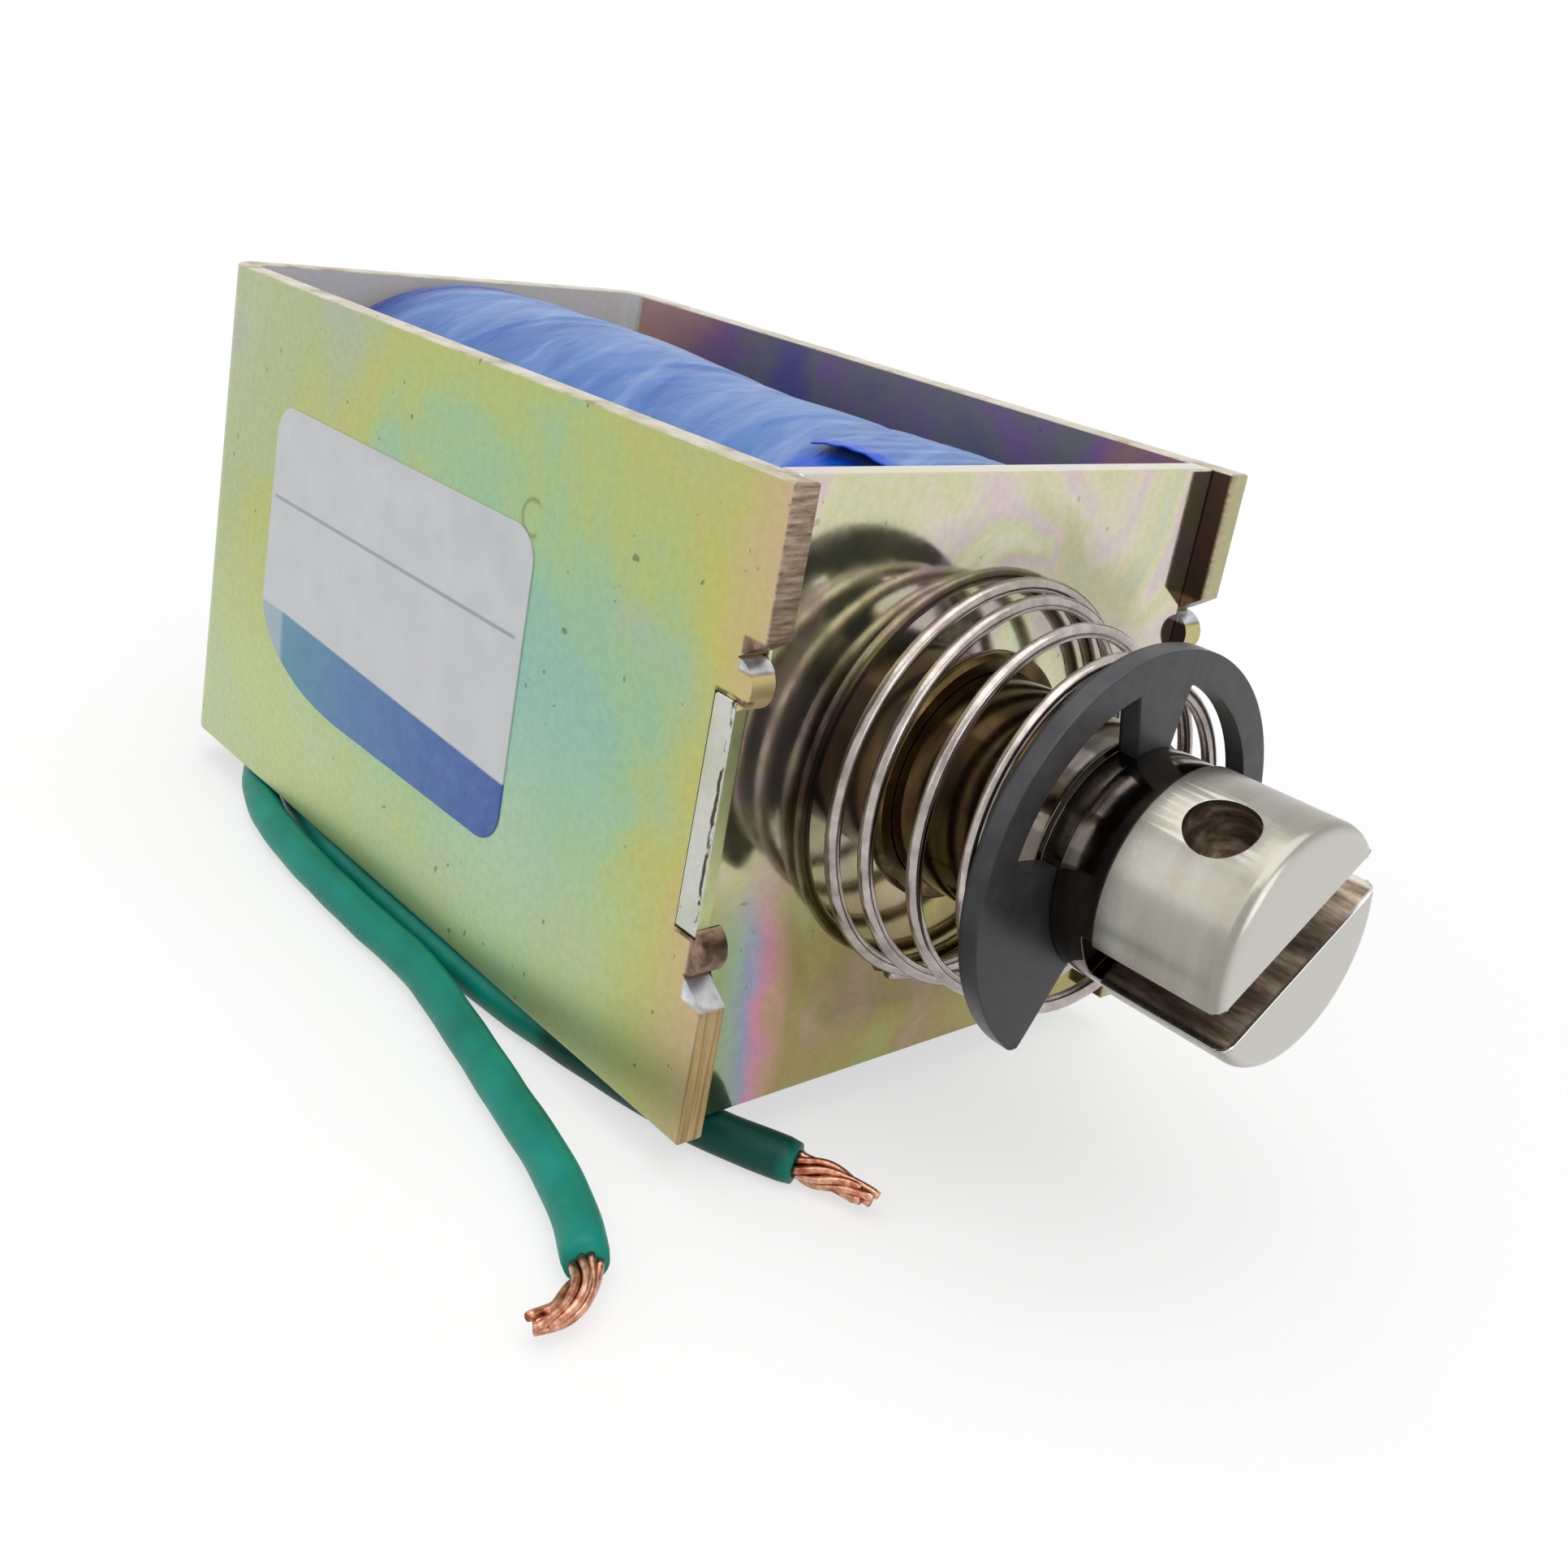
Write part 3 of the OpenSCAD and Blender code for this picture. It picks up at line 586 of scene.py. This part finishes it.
# Middle lines
LEAD_A = [(10.9, -18.3, -3.4), (10.9, -18.3, -8), (10.9, -18.4, -13), (11.1, -18.5, -18),
          (12.2, -18.8, -21.8), (15, -19.4, LIE_Z), (20, -20.6, LIE_Z), (27, -21.8, LIE_Z),
          (33.5, -22.2, LIE_Z), (40, -22.3, LIE_Z), (46, -22.3, LIE_Z), (53.4, -22, LIE_Z),
          (60, -21.2, LIE_Z), (67, -20, LIE_Z), (73.8, -18.3, LIE_Z), (79.8, -15.4, LIE_Z)]
LEAD_B = [(7, -18.3, -3.4), (7, -18.3, -8), (7, -18.4, -13), (7.2, -18.7, -18),
          (8.3, -19.4, -21.8), (10.8, -20.9, LIE_Z), (14.5, -22.6, LIE_Z), (20, -24.2, LIE_Z),
          (27, -25.1, LIE_Z), (33.5, -25.4, LIE_Z), (40, -25.5, LIE_Z), (48, -25.5, LIE_Z),
          (57, -27, LIE_Z), (65.5, -28.7, LIE_Z), (72, -30, LIE_Z), (77.4, -31.7, LIE_Z),
          (81.3, -33.6, LIE_Z)]
STRANDS_A = [(79.8, -15.4, LIE_Z), (81.6, -14.5, LIE_Z), (83.4, -13.8, LIE_Z),
             (85.2, -13.4, LIE_Z)]
STRANDS_B = [(81.3, -33.6, LIE_Z), (82.9, -35, LIE_Z), (83.8, -37.1, LIE_Z),
             (84, -39.4, LIE_Z)]

STRAND_COUNT, STRAND_WIRE = 8, 0.58
BUNDLE_D = 2.1
STRAND_STEP, STRAND_SIDES = 0.35, 8
STRAND_TWIST = 0.45  # turns over the bare length
STRAND_CORE = 0.1  # the middle wire's distance from the line
STRAND_NARROW = 0.38  # how much closer the wires lie at the cut end
STRAND_STRAY = 0.18


def make_strands(name, route, node):
    """Wires laid up round one in the middle, with a slow twist and uneven cut ends."""
    line = smooth_path([at(*p) for p in route], STRAND_STEP * MM)
    points, faces = [], []
    for wire in range(STRAND_COUNT):
        own = []
        across = (BUNDLE_D - STRAND_WIRE) / 2 if wire < STRAND_COUNT - 1 else STRAND_CORE
        for k, middle in enumerate(line):
            share = k / (len(line) - 1)
            ahead = (line[min(k + 1, len(line) - 1)] - line[max(k - 1, 0)]).normalized()
            side = ahead.cross(Vector((0, 0, 1))).normalized()
            up = side.cross(ahead)
            turn = 2 * math.pi * (wire / (STRAND_COUNT - 1) + STRAND_TWIST * share)
            reach = across * (1 - STRAND_NARROW * share) * MM
            reach *= 1 + STRAND_STRAY * math.sin(5 * wire + 7 * share)
            own.append(middle + (side * math.cos(turn) + up * math.sin(turn)) * reach)
        own = own[:len(own) - (wire * 3) % 5]
        faces += tube_faces(len(own), STRAND_SIDES, first=len(points))
        points += rings(own, [STRAND_WIRE / 2 * MM] * len(own), STRAND_SIDES)
    piece = new_object(name, mesh_of(name, points, faces), bare_copper)
    stands_for(piece, node, "housing")
    return piece


def make_lead(name, route, node, strands):
    """The insulated part of a lead, which ends where its strands come out."""
    line = smooth_path([at(*p) for p in route], LEAD_STEP * MM)
    # The smooth line may dip below the height that it lies at, which is rounded off here
    for point in line:
        lift = point.z - at(0, 0, LIE_Z).z
        point.z += (math.hypot(lift, LIE_SOFT * MM) - lift) / 2
    radii = [LEAD_D / 2 * MM * (1 + LEAD_WAVE * math.sin(0.9 * k)) for k in range(len(line))]
    radii[-1] *= LEAD_CUT
    mesh = mesh_of(name, rings(line, radii, LEAD_SIDES), tube_faces(len(line), LEAD_SIDES))
    piece = new_object(name, mesh, lead_teal)
    stands_for(piece, node, "housing")


make_lead("lead_a_cover", LEAD_A, "lead_a",
          make_strands("lead_a_wires", STRANDS_A, "lead_a_strands"))
make_lead("lead_b_cover", LEAD_B, "lead_b",
          make_strands("lead_b_wires", STRANDS_B, "lead_b_strands"))


# ---------------------------------------------------------------- pieces made from their solids

WELD = 0.5e-6  # m: points nearer than this are one
FLAT_ANGLE, SHARP_ANGLE = math.radians(0.6), math.radians(34)
SLIVER_HIGH, SLIVER_LONG = 0.01 * MM, 4 * MM


def flip_slivers(work):
    """Turns the long side of each needle triangle, whose own direction is lost in rounding."""
    for face in list(work.faces):
        if not face.is_valid or len(face.verts) != 3:
            continue
        side = max(face.edges, key=lambda e: e.calc_length())
        length = side.calc_length()
        high = 2 * face.calc_area() / length
        if length < SLIVER_LONG or high > SLIVER_HIGH or len(side.link_faces) != 2:
            continue
        other = next(f for f in side.link_faces if f is not face)
        if len(other.verts) > 3:
            bmesh.ops.triangulate(work, faces=[other])
        bmesh.ops.rotate_edges(work, edges=[side], use_ccw=True)


def on_frame_outline(x, y, z):
    """The rims of the bent sheet. Its holes, notches and chisel marks keep their crisp edges."""
    return abs(z) > HALF_H - 0.1 or (x > FRAME_END - 0.1 and abs(z) > CHISEL_END)


def dressed(node, body, material, edge=0.12, steps=2, only=None):
    """The node's own shape with its sharp edges rounded off by edge millimetres."""
    work = bmesh.new()
    work.from_mesh(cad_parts[node].data)
    bmesh.ops.remove_doubles(work, verts=work.verts, dist=WELD)
    bmesh.ops.dissolve_limit(work, angle_limit=FLAT_ANGLE, verts=work.verts,
                             edges=work.edges, delimit=set())
    bmesh.ops.triangulate(work, faces=[f for f in work.faces if len(f.verts) > 4])
    weight = work.edges.layers.float.new("bevel_weight_edge")
    for side in work.edges:
        places = [(v.co - ORIGIN) / MM for v in side.verts]
        if side.calc_face_angle(0) > SHARP_ANGLE and (not only or all(only(*p) for p in places)):
            side[weight] = 1.0
    mesh = bpy.data.meshes.new(node + "_edges")
    work.to_mesh(mesh)
    work.free()
    blank = new_object(node + "_edges", mesh, material)
    bevel = blank.modifiers.new("edges", "BEVEL")
    bevel.width = edge * MM
    bevel.segments = steps
    bevel.limit_method = "WEIGHT"
    bevel.use_clamp_overlap = False
    shaped = blank.evaluated_get(bpy.context.evaluated_depsgraph_get())
    work = bmesh.new()
    work.from_mesh(shaped.to_mesh())
    shaped.to_mesh_clear()
    bpy.data.objects.remove(blank)
    flip_slivers(work)
    for side in work.edges:
        side.smooth = side.calc_face_angle(0) <= SHARP_ANGLE
    final = bpy.data.meshes.new(node + "_dressed")
    work.to_mesh(final)
    work.free()
    piece = new_object(node + "_dressed", final, material)
    even = piece.modifiers.new("even", "WEIGHTED_NORMAL")
    even.keep_sharp = True
    stands_for(piece, node, body)


dressed("u_frame", "housing", frame_zinc, edge=0.16, only=on_frame_outline)
dressed("front_plate", "housing", plate_zinc, edge=0.22, steps=3)
dressed("plunger", "armature", nickel)
dressed("e_ring", "ring", black_oxide)


# ---------------------------------------------------------------- spring

WIRE_D = 1.05
SPRING_BIG_R, SPRING_SMALL_R = (30.8 - WIRE_D) / 2, (23.6 - WIRE_D) / 2
CLOSED_BIG, OPEN_TURNS, CLOSED_SMALL = 1.35, 2.6, 0.75
CLOSED_RISE = 1.02  # wire diameters per closed turn
SPRING_START = 252  # degrees about the axis
SEAT_GAP = 0.05  # between the wire and what it rests on
STEPS_PER_TURN, WIRE_SIDES = 72, 20


def make_spring():
    """The tapered spring, with closed turns at both ends and open turns between."""
    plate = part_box("front_plate")[1].x + (WIRE_D / 2 + SEAT_GAP) * MM
    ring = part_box("e_ring")[0].x - (WIRE_D / 2 + SEAT_GAP) * MM
    rise = CLOSED_RISE * WIRE_D * MM
    open_start = plate + rise * CLOSED_BIG
    open_end = ring - rise * CLOSED_SMALL
    turns = CLOSED_BIG + OPEN_TURNS + CLOSED_SMALL
    steps = round(turns * STEPS_PER_TURN)
    path, weights = [], []
    for k in range(steps + 1):
        turn = turns * k / steps
        if turn <= CLOSED_BIG:
            x, weight = plate + rise * turn, 0.0
        elif turn >= turns - CLOSED_SMALL:
            x, weight = ring - rise * (turns - turn), 1.0
        else:
            weight = (turn - CLOSED_BIG) / OPEN_TURNS
            x = open_start + (open_end - open_start) * weight
        a = math.radians(SPRING_START + 360 * turn)
        r = SPRING_BIG_R + (SPRING_SMALL_R - SPRING_BIG_R) * turn / turns
        path.append(Vector((x, ORIGIN.y + r * math.cos(a) * MM, ORIGIN.z + r * math.sin(a) * MM)))
        weights.append(weight)
    points = rings(path, [WIRE_D / 2 * MM] * len(path), WIRE_SIDES)
    mesh = mesh_of("spring_wire", points, tube_faces(len(path), WIRE_SIDES))
    piece = new_object("spring_wire", mesh, spring_steel)
    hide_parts("return_spring")
    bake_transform(piece)


make_spring()


# ---------------------------------------------------------------- tape

TAPE_BACK, TAPE_FRONT = 3.35, 72.7
TAPE_R, TAPE_INNER_R = 22.15, 20.12
TAPE_SIDE = 21.1  # how far it reaches towards each side plate
TAPE_SAG = 0.95  # how much smaller the radius is at the front
SAG_FROM, SAG_OVER = 0.38, 0.2  # shares of the length
TAPE_DROP = 0.5  # at both ends
TAPE_PITCH, TAPE_STEP = 16.5, 0.2  # of the overlapping turns
TAPE_SWELL, TAPE_CREASE = 0.22, 0.2
TAPE_EDGE = 0.35  # the bevel at both ends
TAPE_ACROSS, TAPE_ROUND = 230, 288


def tape_radius(x, a):
    """The tape's radius in mm: round above and below, pressed flat against the side plates."""
    s = (x - TAPE_BACK) / (TAPE_FRONT - TAPE_BACK)
    r = TAPE_R - TAPE_SAG * min(1, max(0, (s - SAG_FROM) / SAG_OVER))
    r -= TAPE_DROP * abs(2 * s - 1) ** 14
    swell = abs(math.sin(a)) ** 1.5  # the forms below die out beside the side plates
    r += TAPE_SWELL * noise.noise(Vector((x * 0.1, a * 1.2, 3.1))) * swell
    # The turns overlap along a helix
    turn = ((x - 5.6 + 1.9 * (a - math.pi / 2)) / TAPE_PITCH) % 1
    r -= TAPE_STEP * min(1, turn / 0.04) * (1 - turn) * swell
    # Slanting creases, wavy and of uneven height
    slant = x * 0.36 + a * 3.1 + 1.6 * noise.noise(Vector((x * 0.05, a * 0.8, 7.7)))
    crease = max(0.0, math.sin(slant)) ** 8
    r += TAPE_CREASE * crease * swell * (0.5 + noise.noise(Vector((x * 0.09, a, 1.2))))
    side = abs(math.cos(a)) * r
    if side > TAPE_SIDE:
        r *= TAPE_SIDE / side
    return r


def make_tape():
    """The tape as a closed shell: rings of (x, radius), with both ends bevelled."""
    angles = [2 * math.pi * j / TAPE_ROUND for j in range(TAPE_ROUND)]
    rows = []
    for i in range(TAPE_ACROSS + 1):
        x = TAPE_BACK + (TAPE_FRONT - TAPE_BACK) * i / TAPE_ACROSS
        rows.append([(x, tape_radius(x, a)) for a in angles])
    back = [(TAPE_BACK, r - TAPE_EDGE) for x, r in rows[0]]
    front = [(TAPE_FRONT, r - TAPE_EDGE) for x, r in rows[-1]]
    rows[0] = [(x + TAPE_EDGE, r) for x, r in rows[0]]
    rows[-1] = [(x - TAPE_EDGE, r) for x, r in rows[-1]]
    rows = [[(TAPE_BACK + 0.1, TAPE_INNER_R)] * TAPE_ROUND, back, *rows, front,
            [(TAPE_FRONT - 0.1, TAPE_INNER_R)] * TAPE_ROUND]
    points = [at(x, r * math.cos(a), r * math.sin(a)) for row in rows
              for a, (x, r) in zip(angles, row)]
    faces = []
    for i in range(len(rows)):
        for j in range(TAPE_ROUND):
            k = (j + 1) % TAPE_ROUND
            a, b = i * TAPE_ROUND, (i + 1) % len(rows) * TAPE_ROUND
            faces.append((a + j, a + k, b + k, b + j))
    piece = new_object("coil_tape", mesh_of("coil_tape", points, faces), blue_film)
    stands_for(piece, "blue_wrap", "housing")


make_tape()

FLAP_BACK, FLAP_FRONT = 59.6, 71.4
FLAP_START, FLAP_LIFTS, FLAP_END = 58, 92, 110  # degrees about the axis
FLAP_GAP, FLAP_LIFT = 0.1, 0.95
FILM_T = 0.12
FLAP_ACROSS, FLAP_ALONG = 40, 60


def make_flap():
    """The tape's loose end: a film that follows the turns below and lifts along its cut edge."""
    across, along = FLAP_ACROSS, FLAP_ALONG
    points, faces = [], []
    for height in (FLAP_GAP, FLAP_GAP + FILM_T):
        for j in range(along + 1):
            v = j / along
            angle = FLAP_START + (FLAP_END - FLAP_START) * v
            a = math.radians(angle)
            lift = max(0.0, (angle - FLAP_LIFTS) / (FLAP_END - FLAP_LIFTS)) ** 1.6
            back = FLAP_BACK + 1.4 * v ** 3 + 0.25 * math.sin(7 * v)
            for i in range(across + 1):
                u = i / across
                x = back + (FLAP_FRONT - back) * u
                bulge = 0.45 + 0.75 * math.sin(math.pi * min(1, 0.15 + 0.8 * u)) ** 2
                r = tape_radius(x, a) + height + FLAP_LIFT * lift * bulge
                r += 0.05 * math.sin(3 * x + 9 * v)
                points.append(at(x, r * math.cos(a), r * math.sin(a)))
    row = across + 1
    outer = row * (along + 1)  # the first point of the outer side
    for j in range(along):
        for i in range(across):
            k = j * row + i
            quad = (k, k + 1, k + row + 1, k + row)
            faces.append(quad)
            faces.append(tuple(outer + n for n in (quad[0], quad[3], quad[2], quad[1])))
    rim = list(range(row)) + [j * row + across for j in range(1, along + 1)]
    rim += [along * row + i for i in reversed(range(across))]
    rim += [j * row for j in reversed(range(1, along))]
    for a, b in zip(rim, rim[1:] + rim[:1]):
        faces.append((b, a, outer + a, outer + b))
    piece = new_object("tape_flap", mesh_of("tape_flap", points, faces), blue_film)
    stands_for(piece, "wrap_tail", "housing")


make_flap()


# ---------------------------------------------------------------- label

LABEL_R = 2.6
LABEL_CUT = (15, 7)  # the long curve across the lower left corner
CORNER_STEPS = 12
EDGE_ROUND = 0.03
RULE_Z, RULE_HALF, RULE_X = 4.0, 0.15, (13.9, 51.6)
BAND_Z = (-12.8, -5.6)
BAND_FALL = 1.3  # how much lower the band lies at its right end


def label_paint():
    """A printed film: pale ground, a thin grey rule and a blue band, with nothing written."""
    p = Paint("label_film_face", Coat_Weight=0.25, Coat_Roughness=0.2, Specular_IOR_Level=0.5)
    where = p.local()
    x, z = p.axis("X", where), p.axis("Z", where)
    mottle = p.noise(0.25, detail=4, rough=0.6, vector=where)
    ground = p.ramp(mottle, (0.35, srgb(184, 186, 190)), (0.65, srgb(194, 196, 198)))
    ground = p.mix(p.span(z, 12, -12, 0, 0.5), ground, srgb(196, 198, 200))
    rule = p.both(p.inside(z, RULE_Z - RULE_HALF, RULE_Z + RULE_HALF, 0.12),
                  p.inside(x, *RULE_X, 0.3))
    ground = p.mix(p.math("MULTIPLY", rule, 0.7), ground, srgb(122, 128, 138))
    # The band's left end is faded, up to a slanting line
    slant = p.math("ADD", x, p.math("MULTIPLY", z, 0.1))
    fall = p.math("ADD", z, p.span(x, 18, 52, 0, BAND_FALL))
    band = p.both(p.inside(fall, *BAND_Z, 0.18), p.span(slant, 16.2, 16.9, 0.5, 1.0))
    blue = p.ramp(p.span(x, 15, 52), (0.0, srgb(66, 134, 152)), (0.35, srgb(54, 110, 156)),
                  (0.7, srgb(40, 88, 154)), (1.0, srgb(20, 70, 152)))
    ink = p.noise(0.6, detail=4, rough=0.7, vector=where)
    blue = p.mix(p.span(ink, 0.4, 0.7, 0, 0.18), blue, srgb(112, 150, 184))
    p.set(Base_Color=p.mix(band, ground, blue))
    p.set(Roughness=p.span(mottle, *NOISE_SPAN, 0.38, 0.5))
    p.set(Normal=p.bump(p.noise(1.2, detail=3, vector=where), 0.02, 0.4))
    return p.material


def make_label():
    """The film, with rounded corners and a rounded edge."""
    low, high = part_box("label")
    r = LABEL_R * MM
    wide, tall = (size * MM for size in LABEL_CUT)
    outline = []
    for cx, cz, rx, rz, start in (
            (high.x - r, high.z - r, r, r, 0), (low.x + r, high.z - r, r, r, 90),
            (low.x + wide, low.z + tall, wide, tall, 180), (high.x - r, low.z + r, r, r, 270)):
        for k in range(CORNER_STEPS + 1):
            a = math.radians(start + 90 * k / CORNER_STEPS)
            outline.append((cx + rx * math.cos(a), cz + rz * math.sin(a)))
    middle_x, middle_z = (low.x + high.x) / 2, (low.z + high.z) / 2
    # Copies of the outline, as its size and place, from the frame out and across the face
    levels = [(1.0, high.y), (1.0, low.y + EDGE_ROUND * MM), (0.998, low.y), (0.97, low.y),
              (0.5, low.y)]
    points = []
    for share, y in levels:
        for px, pz in outline:
            points.append((middle_x + (px - middle_x) * share, y,
                           middle_z + (pz - middle_z) * share))
    mesh = mesh_of("label_film", points, tube_faces(len(levels), len(outline)))
    piece = new_object("label_film", mesh, label_paint(), smooth=False)
    stands_for(piece, "label", "housing")


make_label()


# ---------------------------------------------------------------- pieces that keep their solids

KEPT = {
    "fixed_core": core_steel, "core_shim": brass_sheet, "guide_tube": tube_brass,
    "bobbin": bobbin_nylon, "bobbin_cushion": cushion_rubber, "winding": copper_wire,
    "insulating_paper": paper_pale,
    "splice_sleeve_a": sleeve_black, "splice_sleeve_b": sleeve_black,
    "push_rod": stainless,
}
for node, material in KEPT.items():
    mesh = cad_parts[node].data
    mesh.materials.clear()
    mesh.materials.append(material)


# ---------------------------------------------------------------- floor and light

FLOOR_Z = (LIE_Z - LEAD_D / 2) * MM
FLOOR_HALF = 3.0  # m
FLOOR_SHADES = (0.93, 0.94)
SHADOW_REACH = (0.06, 0.17)  # m from the middle, over which the floor turns to plain white
SHADOW_FILL = 0.62  # the share of plain white within that
WORLD_LIGHT, WORLD_SEEN = 0.52, 1.0  # the studio's strength, as light and to look at

# Name, place and size in m, and power in W
LAMPS = [("top", (0.05, -0.1, 0.7), (0.9, 0.9), 3.6),
         ("left", (-0.25, -0.65, 0.35), (0.6, 0.5), 0.7),
         ("right", (0.7, -0.1, 0.25), (0.4, 0.5), 0.8)]


def seen_rays(tree):
    """1 on the rays that show a thing, directly or reflected, and 0 on those that light it."""
    path = tree.nodes.new("ShaderNodeLightPath")
    seen = path.outputs["Is Camera Ray"]
    for kind in ("Is Glossy Ray", "Is Transmission Ray"):
        either = tree.nodes.new("ShaderNodeMath")
        either.operation = "MAXIMUM"
        tree.links.new(seen, either.inputs[0])
        tree.links.new(path.outputs[kind], either.inputs[1])
        seen = either.outputs[0]
    return seen


def make_floor():
    """A pale floor that keeps the shadow near the object and turns to plain white further out."""
    points = [(x * FLOOR_HALF, y * FLOOR_HALF, FLOOR_Z)
              for x, y in ((-1, -1), (1, -1), (1, 1), (-1, 1))]
    p = Paint("floor_pale", Roughness=0.9, Specular_IOR_Level=0.1)
    dark, light = ((shade, shade, shade, 1) for shade in FLOOR_SHADES)
    p.set(Base_Color=p.ramp(p.noise(0.02), (0.3, dark), (0.7, light)))
    where = p.put("TexCoord").outputs["Object"]
    away = p.put("VectorMath", {0: where}, operation="LENGTH").outputs["Value"]
    white = p.span(away, *SHADOW_REACH, SHADOW_FILL, 1.0)
    plain = p.put("Emission", {"Color": (1, 1, 1, 1), "Strength": 1.0})
    mixed = p.put("MixShader", {0: p.math("MULTIPLY", white, seen_rays(p.tree))})
    p.tree.links.new(p.shader.outputs[0], mixed.inputs[1])
    p.tree.links.new(plain.outputs[0], mixed.inputs[2])
    p.tree.links.new(mixed.outputs[0], p.tree.nodes["Material Output"].inputs["Surface"])
    floor = new_object("floor", mesh_of("floor", points, [(0, 1, 2, 3)]), p.material)


def make_world():
    """A white studio, brighter to look at than the light that it gives."""
    world = bpy.data.worlds.new("studio")
    world.use_nodes = True
    SCENE.world = world
    tree = world.node_tree
    back = tree.nodes["Background"]
    strength = tree.nodes.new("ShaderNodeMapRange")
    strength.inputs["To Min"].default_value = WORLD_LIGHT
    strength.inputs["To Max"].default_value = WORLD_SEEN
    tree.links.new(seen_rays(tree), strength.inputs["Value"])
    tree.links.new(strength.outputs["Result"], back.inputs["Strength"])
    back.inputs["Color"].default_value = (1, 1, 1, 1)


def make_lamp(name, place, size, power):
    """A soft lamp that points at the middle."""
    data = bpy.data.lights.new(name, "AREA")
    data.shape = "RECTANGLE"
    data.size, data.size_y = size
    data.energy = power
    lamp = bpy.data.objects.new(name, data)
    SCENE.collection.objects.link(lamp)
    lamp.location = place
    lamp.rotation_mode = "QUATERNION"
    lamp.rotation_quaternion = (-Vector(place)).to_track_quat("-Z", "Y")


make_floor()
make_world()
for lamp in LAMPS:
    make_lamp(*lamp)
